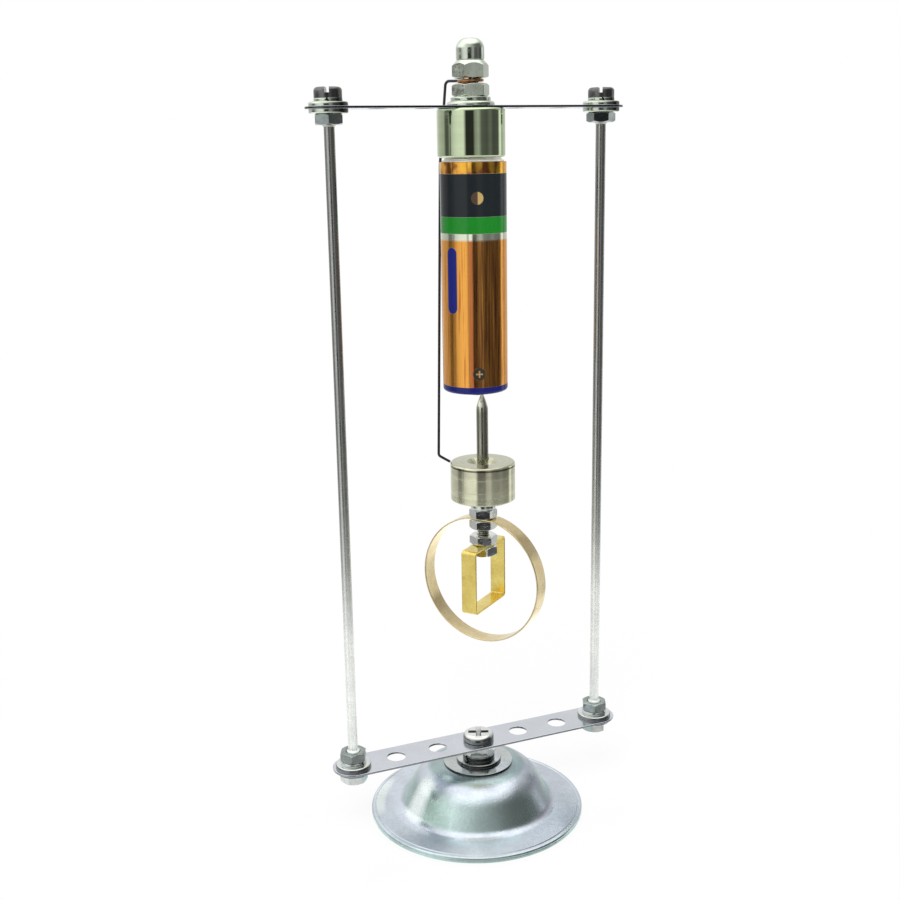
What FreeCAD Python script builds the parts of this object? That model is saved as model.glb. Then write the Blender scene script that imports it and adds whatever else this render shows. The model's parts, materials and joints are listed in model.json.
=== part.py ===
import FreeCAD, Part
import Sketcher
import math
import os

os.makedirs("parts", exist_ok=True)

# Driving sizes: lengths in millimetres, angles in degrees
SIZES = {
    # pressed steel base dish, open underneath
    "base_radius": 25.0,
    "base_height": 11.8,
    "base_sheet": 0.8,
    "base_rim_height": 1.3,
    "base_flange_rise": 0.9,
    "base_wall_foot_radius": 17.8,
    "base_wall_top_radius": 12.8,
    "base_foot_round": 2.6,
    "base_shoulder_round": 8.5,
    "base_hole_radius": 2.9,
    "base_shift": 0.7,
    # washers, spring washer, nut and screw on top of the dish
    "large_washer_radius": 8.15,
    "large_washer_thick": 0.4,
    "large_washer_shift": 0.2,
    "small_washer_radius": 5.25,
    "small_washer_thick": 0.7,
    "base_spring_thick": 1.05,
    "base_nut_height": 2.75,
    "base_lock_nut_height": 2.6,
    "base_screw_head_radius": 3.6,
    "base_screw_head_height": 1.9,
    "base_screw_round": 1.05,
    "base_screw_end": 0.6,
    "base_screw_turn": -22.6,
    "cross_arm": 1.8,
    "cross_depth": 1.3,
    "base_spring_turn": 200.0,
    "base_nut_turn": 7.0,
    "four_thread_radius": 2.0,
    "four_nut_across": 7.0,
    "four_spring_radius": 3.75,
    # flat perforated strips
    "hole_pitch": 10.35,
    "hole_radius": 2.15,
    "strip_width": 9.5,
    "strip_thick": 0.5,
    "strip_spacing": 143.8,
    # posts and what clamps them
    "post_radius": 1.1,
    "post_thread_radius": 1.45,
    "post_head_radius": 2.85,
    "post_head_height": 2.15,
    "post_end": 0.5,
    "slot_width": 0.9,
    "slot_depth": 1.15,
    "left_post_turn": 68.0,
    "right_post_turn": 57.0,
    "left_upper_nut_turn": 42.5,
    "right_upper_nut_turn": 2.0,
    "lower_nut_turn": 35.0,
    "end_nut_turn": 20.0,
    "top_spring_turn": -110.0,
    "lower_spring_turn": -60.0,
    "post_washer_radius": 4.0,
    "post_washer_thick": 0.9,
    "post_spring_radius": 2.9,
    "post_spring_thick": 0.7,
    "three_nut_across": 5.5,
    "three_nut_height": 2.2,
    # hanger stack on the upper strip
    "hanger_magnet_radius": 7.2,
    "hanger_magnet_height": 10.0,
    "hanger_magnet_round": 0.6,
    "hanger_washer_radius": 5.05,
    "hanger_washer_thick": 0.9,
    "hanger_spring_radius": 4.2,
    "hanger_spring_thick": 0.85,
    "hanger_nut_height": 2.75,
    "hanger_screw_cone_radius": 3.8,
    "hanger_screw_sink": 0.4,
    "cap_across": 6.8,
    "cap_hex_height": 2.35,
    "cap_shoulder_height": 1.05,
    "cap_dome_radius": 2.95,
    "cap_dome_height": 4.6,
    "cap_dome_round": 2.0,
    "hanger_spring_turn": 60.0,
    "hanger_nut_turn": 19.0,
    # bent contact wire
    "wire_radius": 0.3,
    "wire_eye_rise": 0.3,
    "wire_eye_turn": 310.0,
    "wire_eye_radius": 2.5,
    "wire_play": 0.05,
    "wire_clearance": 0.45,
    "wire_top_angle": 107.8,
    "wire_middle_angle": 124.0,
    "wire_low_angle": 148.8,
    "wire_low_spread": 0.25,
    "wire_middle_drop": 1.3,
    "wire_low_rise": 1.3,
    "wire_tip_drop": 0.4,
    "wire_tip_reach": 0.28,
    "wire_tip_angle": 145.5,
    "wire_bend": 0.9,
    "wire_gentle_bend": 18.0,
    # penlight cell, negative end up
    "battery_gap": 0.1,
    "battery_shift": 0.35,
    "battery_length": 50.5,
    "battery_radius": 7.1,
    "label_thick": 0.12,
    "label_lip": 1.0,
    "can_wall": 0.3,
    "can_round": 0.6,
    "nub_radius": 2.7,
    "nub_height": 1.0,
    "negative_cap_radius": 6.6,
    "negative_cap_flange": 0.5,
    "negative_cap_thick": 0.35,
    "battery_recess": 0.75,
    "seal_thick": 1.6,
    "cathode_thick": 1.9,
    "separator_thick": 0.3,
    "collector_radius": 0.7,
    "collector_length": 36.0,
    "electrolyte_room": 2.2,
    # rotor
    "rotor_offset": 1.85,
    "pin_gap": 0.1,
    "pin_radius": 1.3,
    "pin_point": 2.9,
    "pin_tip_radius": 0.35,
    "pin_tip_round": 0.25,
    "pin_stand": 15.5,
    "pin_end": 0.3,
    "disc_radius": 7.25,
    "disc_thick": 2.9,
    "disc_round": 0.3,
    "disc_bore_radius": 1.6,
    "disc_countersink": 1.95,
    "rotor_washer_radius": 3.4,
    "rotor_washer_thick": 1.1,
    "rotor_spring_radius": 2.8,
    "rotor_spring_thick": 1.1,
    "round_loop_radius": 14.78,
    "round_loop_flat_drop": 0.34,
    "round_loop_thick": 0.35,
    "round_loop_band": 4.0,
    "round_loop_angle": -53.5,
    "loop_spacing": 1.45,
    "square_loop_side": 14.8,
    "square_loop_thick": 0.4,
    "square_loop_band": 3.7,
    "square_loop_bend": 0.8,
    "square_loop_angle": 38.6,
    "rotor_spring_turn": 70.0,
    "clamp_nut_turn": 64.0,
    "round_nut_turn": 67.0,
    "square_nut_turn": 70.0,
    "rotor_end_nut_turn": 52.0,
    # fits and small edge breaks
    "thread_clearance": 0.05,
    "washer_clearance": 0.2,
    "edge_break": 0.15,
    "soft_edge": 0.3,
    "thread_chamfer": 0.3,
}

doc = FreeCAD.newDocument("demonstration_motor")
sheet = doc.addObject("Spreadsheet::Sheet", "sizes")
for row, (alias, number) in enumerate(SIZES.items(), start=1):
    sheet.set("A%d" % row, alias)
    sheet.set("B%d" % row, str(number))
    sheet.setAlias("B%d" % row, alias)
doc.recompute()


class Size:
    """A length or angle that carries its number and the sheet formula that gives it."""

    def __init__(self, number, text):
        self.number = number
        self.text = text

    def __add__(self, other):
        other = as_size(other)
        return Size(self.number + other.number, "(%s + %s)" % (self.text, other.text))

    def __sub__(self, other):
        other = as_size(other)
        return Size(self.number - other.number, "(%s - %s)" % (self.text, other.text))

    def __mul__(self, factor):
        return Size(self.number * factor, "(%s * %.9g)" % (self.text, factor))

    def __neg__(self):
        return Size(-self.number, "(0 - %s)" % self.text)


def as_size(value):
    return value if isinstance(value, Size) else Size(float(value), "%.9g" % value)


def size(alias):
    return Size(float(sheet.get(alias)), "sizes." + alias)


ZERO = as_size(0)
HALF = 0.5
HOLES_EACH_SIDE = 3
DISC_NAMES = ("rotor_magnet_bottom", "rotor_magnet_middle", "rotor_magnet_top")
FULL_TURN = 360.0
HEX_CORNER = 1 / math.sqrt(3)
HEX_CHAMFER_START = 0.475
HEX_CHAMFER_END = 0.60
CHAMFER_SLOPE = math.tan(math.radians(30))
SPLIT_WIDTH = 0.5
TOLERANCE = 1e-4
pieces = []


def bind(target, path, value):
    target.setExpression(path, value.text)


def new_body(label, x=ZERO, y=ZERO, z=ZERO, turn=ZERO):
    """A body of its own, placed on the assembly and turned about its upright axis."""
    body = doc.addObject("PartDesign::Body", label)
    body.Label = label
    body.Placement = FreeCAD.Placement(
        FreeCAD.Vector(x.number, y.number, z.number),
        FreeCAD.Rotation(FreeCAD.Vector(0, 0, 1), turn.number),
    )
    bind(body, "Placement.Base.x", x)
    bind(body, "Placement.Base.y", y)
    bind(body, "Placement.Base.z", z)
    if turn is not ZERO:
        bind(body, "Placement.Rotation.Angle", turn)
    pieces.append(body)
    return body


def new_sketch(body, role, name, lift=None):
    """A sketch on one of the body's own origin planes, lifted along its normal."""
    plane = [feature for feature in body.Origin.OriginFeatures if feature.Role == role][0]
    sketch = body.newObject("Sketcher::SketchObject", body.Label + "_" + name)
    sketch.AttachmentSupport = [(plane, "")]
    sketch.MapMode = "FlatFace"
    if lift is not None:
        sketch.AttachmentOffset = FreeCAD.Placement(FreeCAD.Vector(0, 0, lift.number), FreeCAD.Rotation())
        bind(sketch, "AttachmentOffset.Base.z", lift)
    return sketch


def hold(sketch, direction, geometry, point, distance):
    """Keep a point at a sized distance from the sketch origin along one direction."""
    if abs(distance.number) < TOLERANCE:
        other_axis = -2 if direction == "X" else -1
        sketch.addConstraint(Sketcher.Constraint("PointOnObject", geometry, point, other_axis))
        return
    kind = "Distance" + direction
    if distance.number > 0:
        constraint = Sketcher.Constraint(kind, -1, 1, geometry, point, distance.number)
    else:
        constraint = Sketcher.Constraint(kind, geometry, point, -1, 1, -distance.number)
        distance = -distance
    index = sketch.addConstraint(constraint)
    bind(sketch, "Constraints[%d]" % index, distance)


def draw_outline(sketch, corners):
    """A closed outline of straight sides with every corner held in place."""
    first = sketch.GeometryCount
    count = len(corners)
    for i in range(count):
        start, end = corners[i], corners[(i + 1) % count]
        line = Part.LineSegment(
            FreeCAD.Vector(start[0].number, start[1].number, 0),
            FreeCAD.Vector(end[0].number, end[1].number, 0),
        )
        sketch.addGeometry(line, False)
    for i in range(count):
        following = first + (i + 1) % count
        sketch.addConstraint(Sketcher.Constraint("Coincident", first + i, 2, following, 1))
    for i, corner in enumerate(corners):
        hold(sketch, "X", first + i, 1, corner[0])
        hold(sketch, "Y", first + i, 1, corner[1])


def draw_circle(sketch, radius, x=ZERO, y=ZERO):
    circle = Part.Circle(FreeCAD.Vector(x.number, y.number, 0), FreeCAD.Vector(0, 0, 1), radius.number)
    index = sketch.addGeometry(circle, False)
    hold(sketch, "X", index, 3, x)
    hold(sketch, "Y", index, 3, y)
    constraint = sketch.addConstraint(Sketcher.Constraint("Radius", index, radius.number))
    bind(sketch, "Constraints[%d]" % constraint, radius)


def pad(body, sketch, length, name="pad"):
    feature = body.newObject("PartDesign::Pad", body.Label + "_" + name)
    feature.Profile = sketch
    feature.Length = length.number
    bind(feature, "Length", length)
    return feature


def turned(body, corners, kind="Revolution", name="turning"):
    """A half section in the upright plane, turned about the body's upright axis."""
    sketch = new_sketch(body, "XZ_Plane", name + "_section")
    outlines = corners if isinstance(corners[0], list) else [corners]
    for outline in outlines:
        draw_outline(sketch, outline)
    feature = body.newObject("PartDesign::" + kind, body.Label + "_" + name)
    feature.Profile = sketch
    feature.ReferenceAxis = (sketch, ["V_Axis"])
    feature.Angle = FULL_TURN
    return feature


def checked_cut(body, feature, base):
    """A cut has to take material away, or its direction is turned round."""
    doc.recompute()
    if feature.Shape.isNull() or feature.Shape.Volume > base.Shape.Volume - TOLERANCE:
        feature.Reversed = not feature.Reversed
        doc.recompute()
    if feature.Shape.Volume > base.Shape.Volume - TOLERANCE:
        raise RuntimeError("the cut takes nothing away in " + body.Label)
    return feature


def pocket(body, sketch, depth, base, name="pocket"):
    feature = body.newObject("PartDesign::Pocket", body.Label + "_" + name)
    feature.Profile = sketch
    feature.Length = depth.number
    bind(feature, "Length", depth)
    return checked_cut(body, feature, base)


def round_edges(body, base, radius, wanted, name="rounding"):
    """Round the edges of the base feature for which the test holds."""
    doc.recompute()
    names = ["Edge%d" % (i + 1) for i, edge in enumerate(base.Shape.Edges) if wanted(edge)]
    if not names:
        raise RuntimeError("no edge to round in " + body.Label)
    feature = body.newObject("PartDesign::Fillet", body.Label + "_" + name)
    feature.Base = (base, names)
    feature.Radius = radius.number
    bind(feature, "Radius", radius)
    return feature


def circle_at(radius, height):
    """A test for a full or part circle about the upright axis at a height."""
    def test(edge):
        curve = edge.Curve
        if not isinstance(curve, Part.Circle):
            return False
        centred = math.hypot(curve.Center.x, curve.Center.y) < TOLERANCE
        return centred and abs(curve.Radius - radius.number) < TOLERANCE \
            and abs(curve.Center.z - height.number) < TOLERANCE
    return test


def any_of(*tests):
    return lambda edge: any(test(edge) for test in tests)


def make_washer(label, outer, inner, thick, **place):
    """A flat washer with its outer edges broken."""
    body = new_body(label, **place)
    edge = size("edge_break")
    turned(body, [
        (inner, ZERO), (outer - edge, ZERO), (outer, edge),
        (outer, thick - edge), (outer - edge, thick), (inner, thick),
    ])
    return body


def make_spring_washer(label, outer, inner, thick, **place):
    """A split lock washer: a ring of square wire with one gap."""
    body = make_washer(label, outer, inner, thick, **place)
    sketch = new_sketch(body, "XY_Plane", "split_sketch")
    half_gap = as_size(SPLIT_WIDTH * HALF)
    start = inner * HALF
    end = outer + 1
    draw_outline(sketch, [(start, -half_gap), (end, -half_gap), (end, half_gap), (start, half_gap)])
    base = body.Tip
    pocket(body, sketch, thick, base, "split")
    return body


def hexagon(across):
    """The six corners of a hexagon with two flats square to its X axis."""
    half = across * HALF
    low = across * (HEX_CORNER * HALF)
    corner = across * HEX_CORNER
    return [(half, -low), (half, low), (ZERO, corner), (-half, low), (-half, -low), (ZERO, -corner)]


def hex_chamfers(across, height, bore, top=True):
    """Half sections that break the hexagon's corners and the mouth of its bore."""
    start = across * HEX_CHAMFER_START
    end = across * HEX_CHAMFER_END
    fall = (end - start) * CHAMFER_SLOPE
    mouth = size("thread_chamfer")
    inside = bore * HALF
    slant = bore - inside + mouth
    cuts = [
        [(start, ZERO), (end, ZERO), (end, fall)],
        [(inside, ZERO), (bore + mouth, ZERO), (inside, slant)],
    ]
    if top:
        cuts.append([(start, height), (end, height), (end, height - fall)])
        cuts.append([(inside, height), (bore + mouth, height), (inside, height - slant)])
    return cuts


def make_nut(label, across, height, thread, **place):
    """A hexagon nut, chamfered on both ends, with a plain bore at the thread's size."""
    body = new_body(label, **place)
    bore = thread + size("thread_clearance")
    sketch = new_sketch(body, "XY_Plane", "hexagon")
    draw_outline(sketch, hexagon(across))
    draw_circle(sketch, bore)
    block = pad(body, sketch, height)
    doc.recompute()
    cut = turned(body, hex_chamfers(across, height, bore), "Groove", "chamfers")
    checked_cut(body, cut, block)
    return body


def rectangle(half_length, half_width):
    """The four corners of a rectangle about the sketch origin."""
    return [
        (-half_length, -half_width), (half_length, -half_width),
        (half_length, half_width), (-half_length, half_width),
    ]


def cut_slot(body, base, top, length, width, depth, name="slot"):
    """A screwdriver slot across the middle of a face at the given height."""
    sketch = new_sketch(body, "XY_Plane", name + "_sketch", lift=top)
    half_width = width * HALF
    draw_outline(sketch, rectangle(length, half_width))
    return pocket(body, sketch, depth, base, name)


# Heights of the stack, worked out upward from the table
three_across = size("three_nut_across")
three_height = size("three_nut_height")
four_across = size("four_nut_across")
four_thread = size("four_thread_radius")
four_bore = four_thread + size("washer_clearance")
post_bore = size("post_thread_radius") + size("washer_clearance")
post_x = size("hole_pitch") * HOLES_EACH_SIDE

large_washer_z = size("base_height")
small_washer_z = large_washer_z + size("large_washer_thick")
base_spring_z = small_washer_z + size("small_washer_thick")
base_nut_z = base_spring_z + size("base_spring_thick")
lower_strip_z = base_nut_z + size("base_nut_height")
lower_strip_top = lower_strip_z + size("strip_thick")
upper_strip_z = lower_strip_top + size("strip_spacing")
upper_strip_top = upper_strip_z + size("strip_thick")


# Base dish
def make_base_dish():
    body = new_body("base_dome", x=-size("base_shift"))
    rim = size("base_radius")
    sheet_thick = size("base_sheet")
    rim_height = size("base_rim_height")
    foot_radius = size("base_wall_foot_radius")
    foot_z = rim_height + size("base_flange_rise")
    top_radius = size("base_wall_top_radius")
    top_z = size("base_height")
    hole = size("base_hole_radius")
    outline = [
        (rim - sheet_thick, ZERO), (rim, ZERO), (rim, rim_height), (foot_radius, foot_z),
        (top_radius, top_z), (hole, top_z), (hole, top_z - sheet_thick),
        (top_radius - sheet_thick, top_z - sheet_thick),
        (foot_radius - sheet_thick, foot_z - sheet_thick), (rim - sheet_thick, rim_height - sheet_thick),
    ]
    dish = turned(body, outline)
    shoulder = size("base_shoulder_round")
    foot = size("base_foot_round")
    first = round_edges(body, dish, shoulder, circle_at(top_radius, top_z), "outer_shoulder")
    second = round_edges(body, first, foot, circle_at(foot_radius, foot_z), "outer_foot")
    third = round_edges(
        body, second, shoulder - sheet_thick,
        circle_at(top_radius - sheet_thick, top_z - sheet_thick), "inner_shoulder")
    fourth = round_edges(
        body, third, foot, circle_at(foot_radius - sheet_thick, foot_z - sheet_thick), "inner_foot")
    round_edges(body, fourth, size("soft_edge"), circle_at(rim, rim_height), "rim_edge")


def make_base_screw():
    """The cross-head screw that goes down through the strip, nut, washers and dish."""
    thread = four_thread
    head_radius = size("base_screw_head_radius")
    head_height = size("base_screw_head_height")
    under_dish = size("base_height") - size("base_sheet") - size("base_lock_nut_height")
    end_z = under_dish - size("base_screw_end")
    shank = lower_strip_top - end_z
    point = size("thread_chamfer")
    body = new_body("base_screw", z=lower_strip_top, turn=size("base_screw_turn"))
    blank = turned(body, [
        (ZERO, -shank), (thread - point, -shank), (thread, point - shank), (thread, ZERO),
        (head_radius, ZERO), (head_radius, head_height), (ZERO, head_height),
    ])
    head = round_edges(body, blank, size("base_screw_round"), circle_at(head_radius, head_height))
    doc.recompute()
    arm = size("cross_arm")
    width = size("slot_width")
    depth = size("cross_depth")
    first = cut_slot(body, head, head_height, arm, width, depth, "cross_one")
    sketch = new_sketch(body, "XY_Plane", "cross_two_sketch", lift=head_height)
    draw_outline(sketch, rectangle(width * HALF, arm))
    pocket(body, sketch, depth, first, "cross_two")
    make_nut("base_lock_nut", four_across, size("base_lock_nut_height"), thread, z=under_dish)


make_base_dish()
make_base_screw()
washer_shift = size("large_washer_shift")
make_washer(
    "base_large_washer", size("large_washer_radius"), four_bore + washer_shift, size("large_washer_thick"),
    x=-washer_shift, z=large_washer_z)
make_washer(
    "base_small_washer", size("small_washer_radius"), four_bore, size("small_washer_thick"),
    z=small_washer_z)
make_spring_washer(
    "base_spring_washer", size("four_spring_radius"), four_bore, size("base_spring_thick"),
    z=base_spring_z, turn=size("base_spring_turn"))
make_nut(
    "base_spacer_nut", four_across, size("base_nut_height"), four_thread,
    z=base_nut_z, turn=size("base_nut_turn"))


# Perforated strips
def make_strip(label, z):
    """A flat strip with round ends and a row of seven holes, drawn whole and cut once."""
    body = new_body(label, z=z)
    half_width = size("strip_width") * HALF
    sketch = new_sketch(body, "XY_Plane", "outline")
    right, left = post_x.number, -post_x.number
    half = half_width.number
    quarter = math.pi / 2
    right_end = Part.Circle(FreeCAD.Vector(right, 0, 0), FreeCAD.Vector(0, 0, 1), half)
    left_end = Part.Circle(FreeCAD.Vector(left, 0, 0), FreeCAD.Vector(0, 0, 1), half)
    lines = [
        Part.LineSegment(FreeCAD.Vector(left, -half, 0), FreeCAD.Vector(right, -half, 0)),
        Part.ArcOfCircle(right_end, -quarter, quarter),
        Part.LineSegment(FreeCAD.Vector(right, half, 0), FreeCAD.Vector(left, half, 0)),
        Part.ArcOfCircle(left_end, quarter, math.pi + quarter),
    ]
    for line in lines:
        sketch.addGeometry(line, False)
    for joint in ((0, 2, 1, 1), (1, 2, 2, 1), (2, 2, 3, 1), (3, 2, 0, 1)):
        sketch.addConstraint(Sketcher.Constraint("Coincident", *joint))
    hold(sketch, "X", 0, 1, -post_x)
    hold(sketch, "Y", 0, 1, -half_width)
    hold(sketch, "X", 0, 2, post_x)
    hold(sketch, "X", 2, 1, post_x)
    hold(sketch, "Y", 2, 1, half_width)
    hold(sketch, "X", 2, 2, -post_x)
    hold(sketch, "X", 1, 3, post_x)
    hold(sketch, "X", 3, 3, -post_x)
    sketch.addConstraint(Sketcher.Constraint("Horizontal", 0))
    sketch.addConstraint(Sketcher.Constraint("Horizontal", 2))
    plate = pad(body, sketch, size("strip_thick"))
    hole_sketch = new_sketch(body, "XY_Plane", "hole")
    draw_circle(hole_sketch, size("hole_radius"), -post_x)
    doc.recompute()
    hole = pocket(body, hole_sketch, size("strip_thick"), plate, "hole")
    row = body.newObject("PartDesign::LinearPattern", label + "_row")
    row.Originals = [hole]
    row.Direction = (hole_sketch, ["H_Axis"])
    row.Length = (post_x * 2).number
    bind(row, "Length", post_x * 2)
    row.Occurrences = int(HOLES_EACH_SIDE) * 2 + 1
    body.Tip = row


make_strip("lower_strip", lower_strip_z)
make_strip("upper_strip", upper_strip_z)


# Posts with their washers and nuts
def make_post(side, direction):
    """One post: a long slotted screw that ties the two strips together."""
    x = post_x * direction
    washer_thick = size("post_washer_thick")
    spring_thick = size("post_spring_thick")
    thread = size("post_thread_radius")
    shank = size("post_radius")
    washer = size("post_washer_radius")
    spring = size("post_spring_radius")
    head_radius = size("post_head_radius")
    head_height = size("post_head_height")
    point = size("thread_chamfer")

    lower_washer_z = lower_strip_top
    lower_spring_z = lower_washer_z + washer_thick
    lower_nut_z = lower_spring_z + spring_thick
    lower_nut_top = lower_nut_z + three_height
    under_washer_z = lower_strip_z - washer_thick
    end_nut_z = under_washer_z - three_height
    end_z = end_nut_z - size("post_end")
    top_nut_z = upper_strip_z - washer_thick - three_height
    top_washer_z = upper_strip_top
    top_spring_z = top_washer_z + washer_thick
    head_z = top_spring_z + spring_thick

    body = new_body(side + "_post", x=x, turn=size(side + "_post_turn"))
    blank = turned(body, [
        (ZERO, end_z), (thread - point, end_z), (thread, end_z + point), (thread, lower_nut_top),
        (shank, lower_nut_top + point), (shank, top_nut_z - point), (thread, top_nut_z),
        (thread, head_z), (head_radius, head_z), (head_radius, head_z + head_height),
        (ZERO, head_z + head_height),
    ])
    head = round_edges(body, blank, size("soft_edge"), circle_at(head_radius, head_z + head_height))
    doc.recompute()
    cut_slot(body, head, head_z + head_height, head_radius + 1, size("slot_width"), size("slot_depth"))

    make_washer(side + "_top_washer", washer, post_bore, washer_thick, x=x, z=top_washer_z)
    make_spring_washer(
        side + "_top_spring_washer", spring, post_bore, spring_thick,
        x=x, z=top_spring_z, turn=size("top_spring_turn"))
    make_washer(
        side + "_upper_under_washer", washer, post_bore, washer_thick, x=x, z=upper_strip_z - washer_thick)
    make_nut(
        side + "_upper_nut", three_across, three_height, thread, x=x, z=top_nut_z,
        turn=size(side + "_upper_nut_turn"))
    make_nut(
        side + "_lower_nut", three_across, three_height, thread, x=x, z=lower_nut_z,
        turn=size("lower_nut_turn"))
    make_spring_washer(
        side + "_lower_spring_washer", spring, post_bore, spring_thick,
        x=x, z=lower_spring_z, turn=size("lower_spring_turn"))
    make_washer(side + "_lower_washer", washer, post_bore, washer_thick, x=x, z=lower_washer_z)
    make_washer(side + "_lower_under_washer", washer, post_bore, washer_thick, x=x, z=under_washer_z)
    make_nut(
        side + "_end_nut", three_across, three_height, thread, x=x, z=end_nut_z,
        turn=size("end_nut_turn"))


make_post("left", -1)
make_post("right", 1)

# Hanger: countersunk screw up through the magnet and the strip, closed by a cap nut
magnet_z = upper_strip_z - size("hanger_magnet_height")
hanger_washer_z = upper_strip_top
hanger_spring_z = hanger_washer_z + size("hanger_washer_thick")
hanger_nut_z = hanger_spring_z + size("hanger_spring_thick")
wire_room_z = hanger_nut_z + size("hanger_nut_height")
wire_room = size("wire_radius") * 2 + size("wire_eye_rise") + size("wire_play") * 2
cap_nut_z = wire_room_z + wire_room


def make_hanger_magnet():
    body = new_body("hanger_magnet", z=magnet_z)
    radius = size("hanger_magnet_radius")
    height = size("hanger_magnet_height")
    cone = size("hanger_screw_cone_radius") + size("thread_clearance")
    bore = four_bore
    sink = size("hanger_screw_sink")
    ring = turned(body, [
        (cone, ZERO), (radius, ZERO), (radius, height), (bore, height),
        (bore, cone - bore + sink), (cone, sink),
    ])
    rounding = size("hanger_magnet_round")
    round_edges(body, ring, rounding, any_of(circle_at(radius, ZERO), circle_at(radius, height)))


def make_hanger_screw():
    """A countersunk screw, its head sunk in the underside of the magnet."""
    thread = four_thread
    cone = size("hanger_screw_cone_radius")
    sink = size("hanger_screw_sink")
    base_z = magnet_z + sink * HALF
    reach = cap_nut_z + size("cap_hex_height") - base_z
    point = size("thread_chamfer")
    body = new_body("hanger_screw", z=base_z)
    rise = sink * HALF
    blank = turned(body, [
        (ZERO, ZERO), (cone, ZERO), (cone, rise), (thread, cone - thread + rise), (thread, reach - point),
        (thread - point, reach), (ZERO, reach),
    ])
    doc.recompute()
    sketch = new_sketch(body, "XY_Plane", "slot_sketch")
    draw_outline(sketch, rectangle(cone, size("slot_width") * HALF))
    slot = body.newObject("PartDesign::Pocket", "hanger_screw_slot")
    slot.Profile = sketch
    slot.Length = size("slot_depth").number
    bind(slot, "Length", size("slot_depth"))
    slot.Reversed = True
    checked_cut(body, slot, blank)


def make_cap_nut():
    """An acorn nut: a chamfered hexagon under a closed dome."""
    body = new_body("hanger_cap_nut", z=cap_nut_z, turn=size("hanger_nut_turn"))
    across = size("cap_across")
    hex_height = size("cap_hex_height")
    shoulder = size("cap_shoulder_height")
    dome_radius = size("cap_dome_radius")
    full = hex_height + shoulder
    sketch = new_sketch(body, "XY_Plane", "hexagon")
    draw_outline(sketch, hexagon(across))
    block = pad(body, sketch, full)
    doc.recompute()
    bore = four_thread + size("thread_clearance")
    end = across * HEX_CHAMFER_END
    cuts = hex_chamfers(across, full, bore, top=False)
    cuts.append([(dome_radius, full), (end, full), (end, hex_height)])
    cut = checked_cut(body, turned(body, cuts, "Groove", "chamfers"), block)
    dome_top = full + size("cap_dome_height")
    dome = turned(body, [
        (ZERO, hex_height), (dome_radius, hex_height), (dome_radius, dome_top), (ZERO, dome_top),
    ], "Revolution", "dome")
    doc.recompute()
    domed = round_edges(body, dome, size("cap_dome_round"), circle_at(dome_radius, dome_top))
    doc.recompute()
    hole_sketch = new_sketch(body, "XY_Plane", "bore_sketch")
    draw_circle(hole_sketch, bore)
    hole = body.newObject("PartDesign::Pocket", "hanger_cap_nut_bore")
    hole.Profile = hole_sketch
    depth = hex_height + shoulder
    hole.Length = depth.number
    bind(hole, "Length", depth)
    hole.Reversed = True
    checked_cut(body, hole, domed)


make_hanger_magnet()
make_hanger_screw()
make_washer(
    "hanger_flat_washer", size("hanger_washer_radius"), four_bore, size("hanger_washer_thick"),
    z=hanger_washer_z)
make_spring_washer(
    "hanger_spring_washer", size("hanger_spring_radius"), four_bore, size("hanger_spring_thick"),
    z=hanger_spring_z, turn=size("hanger_spring_turn"))
make_nut(
    "hanger_nut", four_across, size("hanger_nut_height"), four_thread,
    z=hanger_nut_z, turn=size("hanger_nut_turn"))
make_cap_nut()

# Battery, hanging by its negative end from the magnet
battery_top = magnet_z - size("battery_gap")
battery_bottom = battery_top - size("battery_length") + size("nub_height")
can_radius = size("battery_radius") - size("label_thick")
can_height = size("battery_length") - size("nub_height") - size("battery_recess")
cap_rise = size("battery_length") - size("nub_height")


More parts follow.
